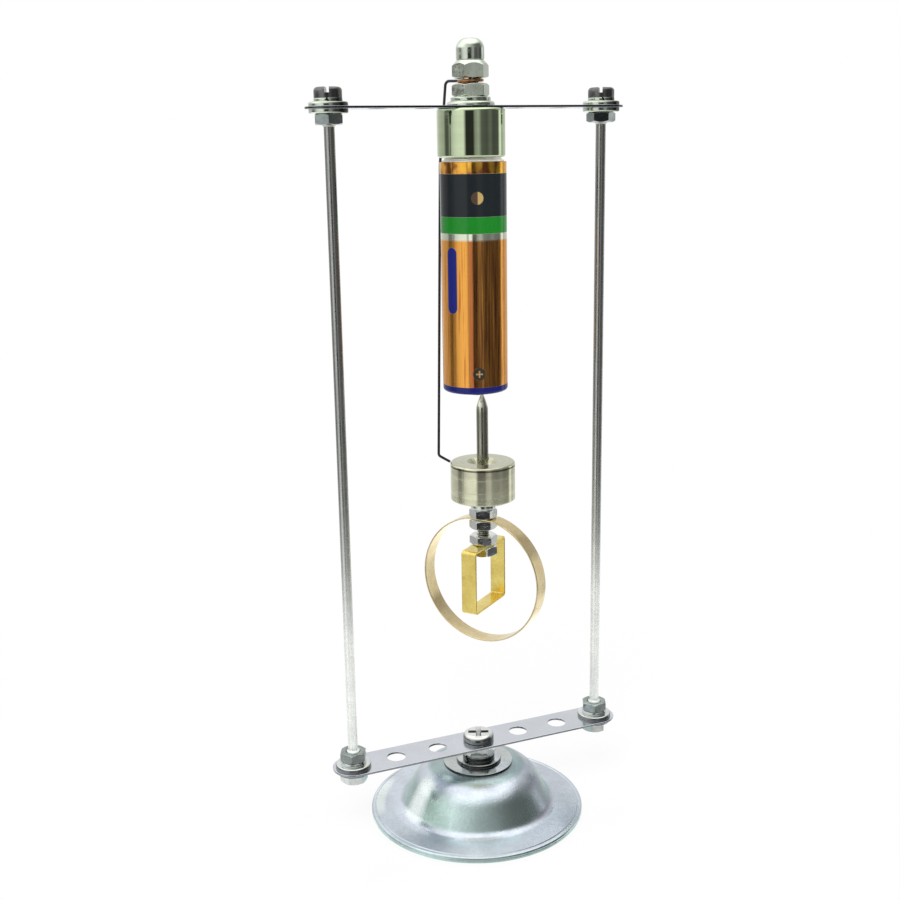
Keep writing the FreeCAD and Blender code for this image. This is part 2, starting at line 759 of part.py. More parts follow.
def make_battery():
    """A penlight cell: can with its nub, label sleeve, chemistry, seal and negative cap."""
    wall = size("can_wall")
    inner = can_radius - wall
    nub = size("nub_radius")
    nub_height = size("nub_height")
    seal_z = can_height - size("seal_thick")
    place = {"x": size("battery_shift"), "z": battery_bottom}

    can = new_body("battery_can", **place)
    shell = turned(can, [
        (ZERO, -nub_height), (nub, -nub_height), (nub, ZERO), (can_radius, ZERO), (can_radius, can_height),
        (inner, can_height), (inner, wall), (nub - wall, wall), (nub - wall, wall - nub_height),
        (ZERO, wall - nub_height),
    ])
    first = round_edges(can, shell, size("soft_edge"), circle_at(nub, -nub_height), "nub_edge")
    can_round = size("can_round")
    round_edges(can, first, can_round, circle_at(can_radius, ZERO), "can_edge")

    label = new_body("battery_label", **place)
    outer = size("battery_radius")
    skin = size("label_thick")
    lip = size("label_lip")
    sleeve = turned(label, [
        (can_radius - lip, -skin), (outer, -skin), (outer, can_height), (can_radius, can_height),
        (can_radius, ZERO), (can_radius - lip, ZERO),
    ])
    inner_turn = round_edges(label, sleeve, can_round, circle_at(can_radius, ZERO), "inner_turn")
    round_edges(label, inner_turn, can_round + skin, circle_at(outer, -skin), "outer_turn")

    cathode_outer = inner - size("edge_break") * HALF
    cathode_inner = cathode_outer - size("cathode_thick")
    anode_radius = cathode_inner - size("separator_thick")
    floor = wall + size("edge_break")
    column = seal_z - size("electrolyte_room")
    cathode = new_body("battery_cathode", **place)
    turned(cathode, [
        (cathode_inner, floor), (cathode_outer, floor), (cathode_outer, column), (cathode_inner, column),
    ])
    separator = new_body("battery_separator", **place)
    paper = size("separator_thick")
    turned(separator, [
        (ZERO, floor), (cathode_inner, floor), (cathode_inner, column), (anode_radius, column),
        (anode_radius, floor + paper), (ZERO, floor + paper),
    ])
    anode = new_body("battery_anode", **place)
    pin = size("collector_radius")
    pin_foot = seal_z - size("collector_length")
    turned(anode, [
        (ZERO, floor + paper), (anode_radius, floor + paper), (anode_radius, column), (pin, column),
        (pin, pin_foot), (ZERO, pin_foot),
    ])
    cap_under = cap_rise - size("negative_cap_thick")
    collector = new_body("battery_collector", **place)
    turned(collector, [(ZERO, pin_foot), (pin, pin_foot), (pin, cap_under), (ZERO, cap_under)])
    seal = new_body("battery_seal", **place)
    turned(seal, [(pin, seal_z), (inner, seal_z), (inner, can_height), (pin, can_height)])

    cap = new_body("battery_negative_cap", **place)
    cap_radius = size("negative_cap_radius")
    thick = size("negative_cap_thick")
    raised = cap_radius - size("negative_cap_flange")
    turned(cap, [
        (ZERO, cap_under), (raised - thick, cap_under), (raised - thick, can_height),
        (cap_radius, can_height), (cap_radius, can_height + thick), (raised, can_height + thick),
        (raised, cap_rise), (ZERO, cap_rise),
    ])


make_battery()

# Rotor, balanced on its point under the battery
rotor_x = size("rotor_offset")
pin_top = battery_bottom - size("nub_height") - size("pin_gap")
discs_top = pin_top - size("pin_stand")
disc_thick = size("disc_thick")
discs_bottom = discs_top - disc_thick * len(DISC_NAMES)
rotor_washer_z = discs_bottom - size("rotor_washer_thick")
rotor_spring_z = rotor_washer_z - size("rotor_spring_thick")
clamp_nut_z = rotor_spring_z - three_height
round_flat_z = clamp_nut_z
round_nut_z = round_flat_z - size("round_loop_thick") - three_height
square_nut_top = round_nut_z - size("loop_spacing")
square_nut_z = square_nut_top - three_height
square_top_z = square_nut_z
end_nut_z = square_top_z - size("square_loop_thick") - three_height
pin_foot_z = end_nut_z - size("pin_end")


def make_pin():
    """The pointed steel stud that carries the rotor."""
    radius = size("pin_radius")
    point = size("pin_point")
    chamfer = size("thread_chamfer")
    tip = size("pin_tip_radius")
    length = pin_top - pin_foot_z
    body = new_body("rotor_pin", x=rotor_x, z=pin_foot_z)
    blank = turned(body, [
        (ZERO, ZERO), (radius - chamfer, ZERO), (radius, chamfer), (radius, length - point),
        (tip, length), (ZERO, length),
    ])
    round_edges(body, blank, size("pin_tip_round"), circle_at(tip, length), "point")


def make_disc(label, z, countersunk):
    """One ring magnet with softly rounded edges, the top one with a countersunk bore."""
    body = new_body(label, x=rotor_x, z=z)
    radius = size("disc_radius")
    bore = size("disc_bore_radius")
    sink = size("disc_countersink")
    corners = [(bore, ZERO), (radius, ZERO), (radius, disc_thick)]
    if countersunk:
        corners += [(bore + sink, disc_thick), (bore, disc_thick - sink)]
    else:
        corners += [(bore, disc_thick)]
    ring = turned(body, corners)
    both_rims = any_of(circle_at(radius, ZERO), circle_at(radius, disc_thick))
    round_edges(body, ring, size("disc_round"), both_rims)


def draw_flattened_circle(sketch, radius, flat_height):
    """A circle about the sketch origin whose top is cut flat."""
    half = math.sqrt(radius.number ** 2 - flat_height.number ** 2)
    start = math.atan2(flat_height.number, -half)
    end = math.atan2(flat_height.number, half) + 2 * math.pi
    circle = Part.Circle(FreeCAD.Vector(0, 0, 0), FreeCAD.Vector(0, 0, 1), radius.number)
    arc = sketch.addGeometry(Part.ArcOfCircle(circle, start, end), False)
    left = FreeCAD.Vector(-half, flat_height.number, 0)
    right = FreeCAD.Vector(half, flat_height.number, 0)
    line = sketch.addGeometry(Part.LineSegment(right, left), False)
    sketch.addConstraint(Sketcher.Constraint("Coincident", arc, 3, -1, 1))
    sketch.addConstraint(Sketcher.Constraint("Coincident", arc, 2, line, 1))
    sketch.addConstraint(Sketcher.Constraint("Coincident", line, 2, arc, 1))
    index = sketch.addConstraint(Sketcher.Constraint("Radius", arc, radius.number))
    bind(sketch, "Constraints[%d]" % index, radius)
    sketch.addConstraint(Sketcher.Constraint("Horizontal", line))
    hold(sketch, "Y", line, 1, flat_height)


def make_round_loop():
    """A brass band bent to a circle, flat where the nuts grip it."""
    radius = size("round_loop_radius")
    thick = size("round_loop_thick")
    band = size("round_loop_band")
    flat = radius - size("round_loop_flat_drop")
    body = new_body("round_loop", x=rotor_x, z=round_flat_z - flat, turn=size("round_loop_angle"))
    sketch = new_sketch(body, "XZ_Plane", "outline", lift=-(band * HALF))
    draw_flattened_circle(sketch, radius, flat)
    draw_flattened_circle(sketch, radius - thick, flat - thick)
    ring = pad(body, sketch, band)
    doc.recompute()
    hole_sketch = new_sketch(body, "XY_Plane", "hole_sketch", lift=flat)
    draw_circle(hole_sketch, size("pin_radius") + size("thread_clearance"))
    pocket(body, hole_sketch, thick * 2, ring, "hole")


def make_square_loop():
    """A brass band folded to a square, hung by the middle of its top side."""
    side = size("square_loop_side")
    thick = size("square_loop_thick")
    band = size("square_loop_band")
    bend = size("square_loop_bend")
    half = side * HALF
    body = new_body("square_loop", x=rotor_x, z=square_top_z - half, turn=size("square_loop_angle"))
    sketch = new_sketch(body, "XZ_Plane", "outline", lift=-(band * HALF))
    inner = half - thick
    draw_outline(sketch, [(-half, -half), (half, -half), (half, half), (-half, half)])
    draw_outline(sketch, [(-inner, -inner), (inner, -inner), (inner, inner), (-inner, inner)])
    ring = pad(body, sketch, band)

    def fold(distance):
        def test(edge):
            middle = edge.CenterOfMass
            along_band = abs(edge.Length - band.number) < TOLERANCE
            at_corner = abs(abs(middle.x) - distance.number) < TOLERANCE \
                and abs(abs(middle.z) - distance.number) < TOLERANCE
            return along_band and at_corner
        return test

    outer = round_edges(body, ring, bend, fold(half), "outer_bends")
    bent = round_edges(body, outer, bend - thick, fold(inner), "inner_bends")
    doc.recompute()
    hole_sketch = new_sketch(body, "XY_Plane", "hole_sketch", lift=half)
    draw_circle(hole_sketch, size("pin_radius") + size("thread_clearance"))
    pocket(body, hole_sketch, thick * 2, bent, "hole")


make_pin()
for number, disc_name in enumerate(DISC_NAMES):
    make_disc(disc_name, discs_bottom + disc_thick * number, disc_name == DISC_NAMES[-1])
pin_radius = size("pin_radius")
pin_hole = pin_radius + size("washer_clearance")
make_washer(
    "rotor_washer", size("rotor_washer_radius"), pin_hole, size("rotor_washer_thick"),
    x=rotor_x, z=rotor_washer_z)
make_spring_washer(
    "rotor_spring_washer", size("rotor_spring_radius"), pin_hole, size("rotor_spring_thick"),
    x=rotor_x, z=rotor_spring_z, turn=size("rotor_spring_turn"))
for nut_name, nut_z, nut_turn in (
    ("magnet_clamp_nut", clamp_nut_z, "clamp_nut_turn"),
    ("round_loop_nut", round_nut_z, "round_nut_turn"),
    ("square_loop_nut", square_nut_z, "square_nut_turn"),
    ("rotor_end_nut", end_nut_z, "rotor_end_nut_turn"),
):
    make_nut(nut_name, three_across, three_height, pin_radius, x=rotor_x, z=nut_z, turn=size(nut_turn))
make_round_loop()
make_square_loop()


# Contact wire: one open eye round the hanger screw, then down to the rim of the rotor's magnets
def polar(reach, angle, z, x=0.0):
    turn = math.radians(angle)
    return FreeCAD.Vector(x + reach * math.cos(turn), reach * math.sin(turn), z)


def bent_path(points, radii):
    """Straight runs through the points, joined by tangent arcs of the given radii."""
    edges = []
    start = points[0]
    for corner, following, radius in zip(points[1:-1], points[2:], radii):
        before = (corner - start).normalize()
        after = (following - corner).normalize()
        trim = radius * math.tan(before.getAngle(after) * HALF)
        arc_start = corner - before * trim
        arc_end = corner + after * trim
        bisector = (after - before).normalize()
        centre = corner + bisector * math.hypot(radius, trim)
        arc_middle = centre - bisector * radius
        edges.append(Part.LineSegment(start, arc_start).toShape())
        edges.append(Part.Arc(arc_start, arc_middle, arc_end).toShape())
        start = arc_end
    edges.append(Part.LineSegment(start, points[-1]).toShape())
    return edges


def make_contact_wire():
    eye = size("wire_eye_radius").number
    rise = size("wire_eye_rise").number
    eye_turn = size("wire_eye_turn").number
    radius = size("wire_radius").number
    top_reach = (size("hanger_magnet_radius") + size("wire_radius") + size("wire_clearance")).number
    low_reach = top_reach + size("wire_low_spread").number
    top_angle = size("wire_top_angle").number
    leave_angle = top_angle - math.degrees(math.acos(eye / top_reach))
    eye_z = (wire_room_z + size("wire_play")).number + radius
    arm = math.sqrt(top_reach ** 2 - eye ** 2)
    pitch = rise * FULL_TURN / eye_turn
    climb = arm * pitch / (2 * math.pi * eye)
    tip_reach = (size("disc_radius") + size("wire_tip_reach")).number
    tip_angle = size("wire_tip_angle").number
    tip_z = (discs_top - size("wire_tip_drop")).number

    helix = Part.makeHelix(pitch, rise, eye)
    helix.rotate(FreeCAD.Vector(0, 0, 0), FreeCAD.Vector(0, 0, 1), leave_angle + FULL_TURN - eye_turn)
    helix.translate(FreeCAD.Vector(0, 0, eye_z))
    route = [
        polar(eye, leave_angle, eye_z + rise),
        polar(top_reach, top_angle, eye_z + rise + climb),
        polar(top_reach, size("wire_middle_angle").number, (magnet_z - size("wire_middle_drop")).number),
        polar(low_reach, size("wire_low_angle").number, (discs_top + size("wire_low_rise")).number),
        polar(tip_reach, tip_angle, tip_z, rotor_x.number),
    ]
    bend = size("wire_bend").number
    gentle_bend = size("wire_gentle_bend").number
    path = Part.Wire(helix.Edges + bent_path(route, (bend, gentle_bend, bend)))
    end = path.Edges[-1]
    direction = end.tangentAt(end.LastParameter)
    section = Part.Wire(Part.makeCircle(radius, route[-1], direction))
    backward = Part.Wire(list(reversed(path.Edges)))
    solid = backward.makePipeShell([section], True, False)
    wire = doc.addObject("Part::Feature", "contact_wire")
    wire.Label = "contact_wire"
    wire.Shape = solid
    wire.Placement = FreeCAD.Placement()
    pieces.append(wire)
    length = sum(edge.Length for edge in path.Edges)
    print("contact wire: length %.2f, volume ratio %.4f" % (
        length, solid.Volume / (math.pi * radius ** 2 * length)))


make_contact_wire()

# Check everything, then write one file for each piece
doc.recompute()
for item in doc.Objects:
    if "Invalid" in item.State or "Error" in item.State:
        raise RuntimeError("failed: %s %s" % (item.Label, item.State))
for piece in pieces:
    if piece.Shape.isNull() or not piece.Shape.isValid() or len(piece.Shape.Solids) != 1:
        raise RuntimeError("not one sound solid: " + piece.Label)
for piece in pieces:
    piece.Shape.exportStep("parts/%s.step" % piece.Label)
bounds = FreeCAD.BoundBox()
for piece in pieces:
    bounds.add(piece.Shape.BoundBox)
print("pieces", len(pieces), "size %.2f %.2f %.2f" % (bounds.XLength, bounds.YLength, bounds.ZLength))
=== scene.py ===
"""Looks of a small demonstration motor, built round its fixed model.

Lengths in the helpers are millimetres in the model's own frame; meshes are scaled to metres when they are finished.
"""

import json
import math

import bmesh
import bpy
from mathutils import Matrix, Vector


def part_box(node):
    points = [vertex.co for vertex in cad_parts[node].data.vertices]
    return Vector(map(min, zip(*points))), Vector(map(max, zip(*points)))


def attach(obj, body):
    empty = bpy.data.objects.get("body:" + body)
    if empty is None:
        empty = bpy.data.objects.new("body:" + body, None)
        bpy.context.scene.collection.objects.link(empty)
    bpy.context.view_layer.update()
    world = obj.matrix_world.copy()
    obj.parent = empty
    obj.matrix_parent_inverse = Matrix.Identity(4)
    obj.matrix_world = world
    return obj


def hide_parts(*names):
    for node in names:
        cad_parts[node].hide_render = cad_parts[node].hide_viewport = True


bl_info = {
    "name": "Demonstration motor",
    "version": (1, 0, 0),
    "blender": (4, 5, 0),
    "location": "3D View > Sidebar > Motor",
    "description": "Builds the finished pieces of a hanging demonstration motor",
    "category": "Object",
}

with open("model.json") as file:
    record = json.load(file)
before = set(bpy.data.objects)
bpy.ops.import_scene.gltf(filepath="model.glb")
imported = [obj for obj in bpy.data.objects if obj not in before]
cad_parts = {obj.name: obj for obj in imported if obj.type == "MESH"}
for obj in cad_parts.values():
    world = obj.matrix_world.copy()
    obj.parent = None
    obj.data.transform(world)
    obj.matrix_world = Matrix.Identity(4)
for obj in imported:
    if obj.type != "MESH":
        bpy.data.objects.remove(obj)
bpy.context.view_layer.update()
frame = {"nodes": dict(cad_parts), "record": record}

MM = 0.001
TURN = 2 * math.pi
BODY_OF = {node: body for body, nodes in frame["record"]["behaviour"]["bodies"].items() for node in nodes}

# Directions in degrees about the upright axis: the motor's front, and the side where the posts' washers get painted
# shade
FRONT = -113.9
PAINTED_SHADE_SIDE = FRONT + 90.0

# Nuts: slope of the chamfer, where it starts as a share of the width across flats, and depth of the bore's mouth
CHAMFER_SLOPE = math.tan(math.radians(30))
CHAMFER_START = 0.472
MOUTH = 0.28

# The part of the noises' range that is spread over the whole of a tone, in plate and in grain
PLATE_TONES = (0.36, 0.66)
GRAIN_TONES = (0.3, 0.7)


# ---- sizes and colours a user would change

def length(name, default, text):
    return bpy.props.FloatProperty(name=name, description=text, default=default, min=0.0, soft_max=100.0)


def turn_angle(name, default, text):
    return bpy.props.FloatProperty(name=name, description=text, default=math.radians(default), subtype="ANGLE")


def colour(name, default, text):
    return bpy.props.FloatVectorProperty(
        name=name, description=text, default=default, subtype="COLOR", size=3, min=0.0, max=1.0)


class MotorSizes(bpy.types.PropertyGroup):
    """Sizes that are not read from the model, in millimetres."""

    small_across: length("Small nut", 5.5, "Width across flats of the small nuts, in mm")
    large_across: length("Large nut", 7.0, "Width across flats of the large nuts, in mm")
    small_pitch: length("Small pitch", 0.5, "Thread pitch of the small screws, in mm")
    large_pitch: length("Large pitch", 0.7, "Thread pitch of the large screws, in mm")
    strip_hole: length("Strip hole", 2.15, "Radius of the holes in the strips, in mm")
    hole_pitch: length("Hole pitch", 10.35, "Distance from one strip hole to the next, in mm")
    cap_across: length("Cap nut", 6.8, "Width across flats of the cap nut, in mm")
    slot_width: length("Slot width", 0.9, "Width of the screwdriver slots, in mm")
    slot_depth: length("Slot depth", 1.15, "Depth of the screwdriver slots, in mm")
    wire_radius: length("Wire radius", 0.3, "Radius of the contact wire, in mm")
    round_angle: turn_angle("Round loop turn", -53.5, "Turn of the round loop about the pin")
    square_angle: turn_angle("Square loop turn", 38.6, "Turn of the square loop about the pin")
    round_band: length("Round loop band", 4.0, "Width of the round loop's band, in mm")
    square_band: length("Square loop band", 3.7, "Width of the square loop's band, in mm")


class MotorColours(bpy.types.PropertyGroup):
    """Colours of the finishes."""

    dish: colour("Dish zinc", (0.73, 0.79, 0.87), "Zinc plate on the base dish")
    dish_side: colour("Dish side zinc", (0.64, 0.86, 0.80), "Zinc plate on the dish's steep sides")
    strip: colour("Strip zinc", (0.71, 0.74, 0.79), "Zinc plate on the two strips")
    post: colour("Post zinc", (0.96, 0.99, 0.94), "Zinc plate on the two posts")
    fastener: colour("Fastener zinc", (0.76, 0.83, 0.71), "Zinc plate on the upper nuts and washers")
    low_fastener: colour("Low fastener zinc", (0.82, 0.86, 0.84), "Zinc plate on the lower nuts and washers")
    post_nut: colour("Post nut zinc", (0.42, 0.48, 0.46), "Darker zinc plate on the posts' upper and lower nuts")
    hanger: colour("Hanger nickel", (0.68, 0.80, 0.53), "Nickel plate on the hanger magnet")
    rotor: colour("Rotor nickel", (0.88, 0.88, 0.64), "Nickel plate on the rotor magnets")
    brass: colour("Square loop brass", (0.95, 0.80, 0.25), "Rolled brass of the square loop")
    pale_brass: colour("Round loop brass", (0.86, 0.75, 0.46), "Paler rolled brass of the round loop")
    pin: colour("Pin steel", (0.84, 0.84, 0.68), "Steel of the pin")
    enamel: colour("Wire enamel", (0.012, 0.012, 0.016), "Enamel on the contact wire")
    copper: colour("Wire copper", (0.62, 0.27, 0.13), "Copper at the wire's eye")
    label_gold: colour("Label gold", (0.97, 0.45, 0.09), "Gold part of the battery label")
    label_black: colour("Label black", (0.014, 0.018, 0.021), "Black band of the battery label")
    label_green: colour("Label green", (0.013, 0.205, 0.020), "Green band of the battery label")
    label_silver: colour("Label silver", (0.80, 0.84, 0.68), "Silver band of the battery label")
    label_blue: colour("Label blue", (0.011, 0.015, 0.135), "Blue ring and patch of the battery label")
    floor: colour("Floor", (0.92, 0.92, 0.92), "Pale floor")


def sizes():
    return bpy.context.scene.motor_sizes


def colours():
    return bpy.context.scene.motor_colours


# ---- geometry helpers

class Span:
    """Centre, reach and heights of a round CAD piece, in millimetres."""

    def __init__(self, node):
        low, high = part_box(node)
        low, high = low / MM, high / MM
        self.centre = ((low.x + high.x) / 2, (low.y + high.y) / 2)
        self.reach = (high.x - low.x) / 2
        self.bottom, self.top = low.z, high.z


def round_point(centre, radius, angle, height):
    """A point at a radius and an angle, in radians, from an upright axis."""
    return Vector((centre[0] + radius * math.cos(angle), centre[1] + radius * math.sin(angle), height))


def soften(corners, steps):
    """Rounds the corners of an outline. A corner is (radius, height) or (radius, height, rounding)."""
    outline = []
    for i, corner in enumerate(corners):
        here = Vector(corner[:2])
        if len(corner) == 2:
            outline.append((here.x, here.y))
            continue
        fillet = corner[2]
        before = (Vector(corners[i - 1][:2]) - here).normalized()
        after = (Vector(corners[(i + 1) % len(corners)][:2]) - here).normalized()
        half = before.angle(after) / 2
        centre = here + (before + after).normalized() * (fillet / math.sin(half))
        first, last = (here + way * (fillet / math.tan(half)) - centre for way in (before, after))
        start = math.atan2(first.y, first.x)
        swing = (math.atan2(last.y, last.x) - start + math.pi) % TURN - math.pi
        for k in range(steps + 1):
            angle = start + swing * k / steps
            outline.append((centre.x + fillet * math.cos(angle), centre.y + fillet * math.sin(angle)))
    return outline


def join_rings(shape, rings, whole=True, skipped=()):
    """Covers the room between neighbouring rings of points, and from the last to the first if they go all round."""
    count = len(rings[0])
    for i in range(len(rings) if whole else len(rings) - 1):
        here, there = rings[i], rings[(i + 1) % len(rings)]
        for k in range(count):
            if k not in skipped:
                j = (k + 1) % count
                shape.faces.new((here[k], there[k], there[j], here[j]))


def lathe(outline, centre, segments, start=0.0, sweep=360.0, slant=0.0):
    """Turns a closed outline of (radius, height) points about an upright axis."""
    shape = bmesh.new()
    whole = sweep >= 360
    middle = sum(point[1] for point in outline) / len(outline)
    rings = []
    for i in range(segments if whole else segments + 1):
        ring = []
        for radius, height in outline:
            angle = math.radians(start + slant * (height - middle) + sweep * i / segments)
            ring.append(shape.verts.new(round_point(centre, radius, angle, height)))
        rings.append(ring)
    on_axis = [radius < 1e-6 for radius, height in outline]
    skipped = [k for k in range(len(outline)) if on_axis[k] and on_axis[(k + 1) % len(outline)]]
    join_rings(shape, rings, whole, skipped)
    if not whole:
        shape.faces.new(rings[0])
        shape.faces.new(list(reversed(rings[-1])))
    return shape


def smooth(mesh, sharp):
    mesh.polygons.foreach_set("use_smooth", [True] * len(mesh.polygons))
    mesh.set_sharp_from_angle(angle=math.radians(sharp))


def new_piece(name, mesh, sharp):
    """Puts a mesh in the scene, shaded smooth but for edges sharper than an angle in degrees."""
    smooth(mesh, sharp)
    piece = bpy.data.objects.new(name, mesh)
    bpy.context.scene.collection.objects.link(piece)
    return piece


def finish_mesh(name, shape, sharp=32):
    """Turns a bmesh in millimetres into a smooth shaded object in metres."""
    bmesh.ops.remove_doubles(shape, verts=shape.verts, dist=0.0004)
    bmesh.ops.dissolve_degenerate(shape, edges=shape.edges, dist=0.0003)
    bmesh.ops.recalc_face_normals(shape, faces=shape.faces)
    bmesh.ops.scale(shape, vec=(MM, MM, MM), verts=shape.verts)
    mesh = bpy.data.meshes.new(name)
    shape.to_mesh(mesh)
    shape.free()
    return new_piece(name, mesh, sharp)


def worked_out(item):
    """The mesh an object shows once its curve or its modifiers are worked out."""
    bpy.context.view_layer.update()
    return bpy.data.meshes.new_from_object(item.evaluated_get(bpy.context.evaluated_depsgraph_get()))


def curve_piece(name, runs, closed, sharp, lift=0.0, **settings):
    """A piece from a curve's runs of points, in metres. The points doubled where sides meet ends are joined."""
    curve = bpy.data.curves.new(name, "CURVE")
    for key, value in settings.items():
        setattr(curve, key, value)
    for run in runs:
        spline = curve.splines.new("POLY")
        spline.points.add(len(run) - 1)
        for point, place in zip(spline.points, run):
            point.co = (*place, 1)
        spline.use_cyclic_u = closed
    holder = bpy.data.objects.new(name + "_curve", curve)
    bpy.context.scene.collection.objects.link(holder)
    mesh = worked_out(holder)
    bpy.data.objects.remove(holder)
    mesh.transform(Matrix.Translation((0, 0, lift)))
    shape = bmesh.new()
    shape.from_mesh(mesh)
    bmesh.ops.remove_doubles(shape, verts=shape.verts, dist=0.002 * MM)
    bmesh.ops.recalc_face_normals(shape, faces=shape.faces)
    shape.to_mesh(mesh)
    shape.free()
    return new_piece(name, mesh, sharp)


def cut(piece, cutter, sharp):
    """Takes the cutter's room out of the piece and removes the cutter."""
    modifier = piece.modifiers.new("cut", "BOOLEAN")
    modifier.operation = "DIFFERENCE"
    modifier.solver = "EXACT"
    modifier.object = cutter
    mesh = worked_out(piece)
    piece.modifiers.clear()
    piece.data = mesh
    smooth(mesh, sharp)
    bpy.data.objects.remove(cutter)


def block(centre, half, turn=0.0):
    """A turned cuboid, used only to cut slots."""
    shape = bmesh.new()
    bmesh.ops.create_cube(shape, size=2.0)
    bmesh.ops.scale(shape, vec=half, verts=shape.verts)
    bmesh.ops.rotate(shape, cent=(0, 0, 0), matrix=Matrix.Rotation(turn, 3, "Z"), verts=shape.verts)
    bmesh.ops.translate(shape, vec=centre, verts=shape.verts)
    return finish_mesh("cutter", shape)


def cross(centre, reach, half_wide, depth, turn, taper):
    """A tapered cross, used only to cut a screw's recess."""
    shape = bmesh.new()
    outline = []
    for k in range(4):
        side = Matrix.Rotation(turn + k * math.pi / 2, 2)
        for x, y in ((reach, -half_wide), (reach, half_wide), (half_wide, half_wide)):
            outline.append(side @ Vector((x, y)))
    low, high, roof = (
        [shape.verts.new((centre[0] + scale * p.x, centre[1] + scale * p.y, centre[2] + rise)) for p in outline]
        for scale, rise in ((taper, -depth), (1.0, 0.0), (1.0, 1.0)))
    for below, above in ((low, high), (high, roof)):
        for k in range(len(outline)):
            j = (k + 1) % len(outline)
            shape.faces.new((below[k], below[j], above[j], above[k]))
    shape.faces.new(list(reversed(low)))
    shape.faces.new(roof)
    return finish_mesh("cutter", shape)


def rod(centre, radius, bottom, top):
    """A plain cylinder, used only to cut holes."""
    return finish_mesh("cutter", lathe([(0, bottom), (radius, bottom), (radius, top), (0, top)], centre, 48))


def soft_edges(piece, width, angle):
    """A fine rounding on the piece's hard edges."""
    modifier = piece.modifiers.new("soft_edges", "BEVEL")
    modifier.limit_method = "ANGLE"
    modifier.angle_limit = math.radians(angle)
    modifier.width = width * MM
    modifier.segments = 2
    modifier.miter_outer = "MITER_ARC"
    modifier.harden_normals = True


def fastener_finish(node):
    """The upper fasteners have a greener plate than the lower ones, and the posts' own are darker."""
    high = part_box(node)[0].z > 0.1
    if node.startswith("base") and node.endswith("washer"):
        return "base_washer"
    if node.startswith(("left", "right")):
        if node.endswith(("upper_nut", "lower_nut")):
            return "post_nut"
        if high:
            return "post_washer"
        if node.endswith(("lower_washer", "under_washer")):
            return "low_washer"
    return "fastener" if high else "low_fastener"


def fit(piece, node, finish):
    """Puts a finished piece in the place of a CAD node, with shading that keeps its broad faces even."""
    even = piece.modifiers.new("even_shading", "WEIGHTED_NORMAL")
    even.keep_sharp = True
    piece.data.materials.clear()
    piece.data.materials.append(FINISH[finish])
    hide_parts(node)
    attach(piece, BODY_OF[node])


def turn_piece(node, corners, steps, centre, segments, sharp, finish):
    """Turns a piece from the corners of its outline and fits it."""
    shape = lathe(soften(corners, steps), centre, segments)
    fit(finish_mesh(node + "_finished", shape, sharp), node, finish)


def hex_turned(centre, across, turn, rings, closed):
    """A hexagon piece built ring by ring.

    A ring is (radius, height), or a rule that gives both from the reach of the hexagon in one direction.
    """
    shape = bmesh.new()
    segments = 144
    columns = []
    for i in range(segments):
        angle = TURN * i / segments
        folded = (angle + math.pi / 6) % (math.pi / 3) - math.pi / 6
        reach = across / 2 / math.cos(folded)
        places = [ring(reach) if callable(ring) else ring for ring in rings]
        columns.append([
            shape.verts.new(round_point(centre, radius, angle + turn, height)) for radius, height in places])
    join_rings(shape, columns, skipped=() if closed else (len(rings) - 1,))
    return shape


def chamfer(level, start, way):
    """The edge of a hexagon's end face, sloping away beyond a radius: up if way is 1, down if it is -1."""
    return lambda reach: (reach, level + way * max(0.0, reach - start) * CHAMFER_SLOPE)


def make_nut(node, across, bore, pitch, turn):
    """A hexagon nut with chamfered corners and turns of thread in its bore."""
    place = Span(node)
    bottom, top = place.bottom, place.top
    start = across * CHAMFER_START
    rings = [
        (bore, bottom + MOUTH), (bore + MOUTH, bottom), (start, bottom),
        chamfer(bottom, start, 1), chamfer(top, start, -1),
        (start, top), (bore + MOUTH, top), (bore, top - MOUTH),
    ]
    groove = pitch * 0.3
    height = top - MOUTH - pitch / 2
    while height > bottom + MOUTH + pitch / 2:
        rings += [(bore, height + pitch / 4), (bore + groove, height), (bore, height - pitch / 4)]
        height -= pitch
    piece = finish_mesh(node + "_finished", hex_turned(place.centre, across, turn, rings, True), 20)
    soft_edges(piece, 0.09, 25)
    fit(piece, node, fastener_finish(node))


def make_washer(node, inner, low_round, high_round):
    """A stamped flat washer. Its outer edge is rolled over more on one face than on the other."""
    place = Span(node)
    bottom, top, outer = place.bottom, place.top, place.reach
    most = (top - bottom) * 0.8
    corners = [
        (inner, bottom, 0.05), (outer, bottom, min(low_round, most)),
        (outer, top, min(high_round, most)), (inner, top, 0.05)]
    turn_piece(node, corners, 5, place.centre, 128, 50, fastener_finish(node))


def make_spring_washer(node, inner, turn):
    """A split lock washer of square wire, its gap cut on a slant."""
    place = Span(node)
    edge = 0.14
    gap = 7.5
    outline = soften([
        (inner, place.bottom, edge), (place.reach, place.bottom, edge),
        (place.reach, place.top, edge), (inner, place.top, edge)], 3)
    shape = lathe(outline, place.centre, 110, turn + gap / 2, 360 - gap, slant=-9.0)
    fit(finish_mesh(node + "_finished", shape, 50), node, fastener_finish(node))


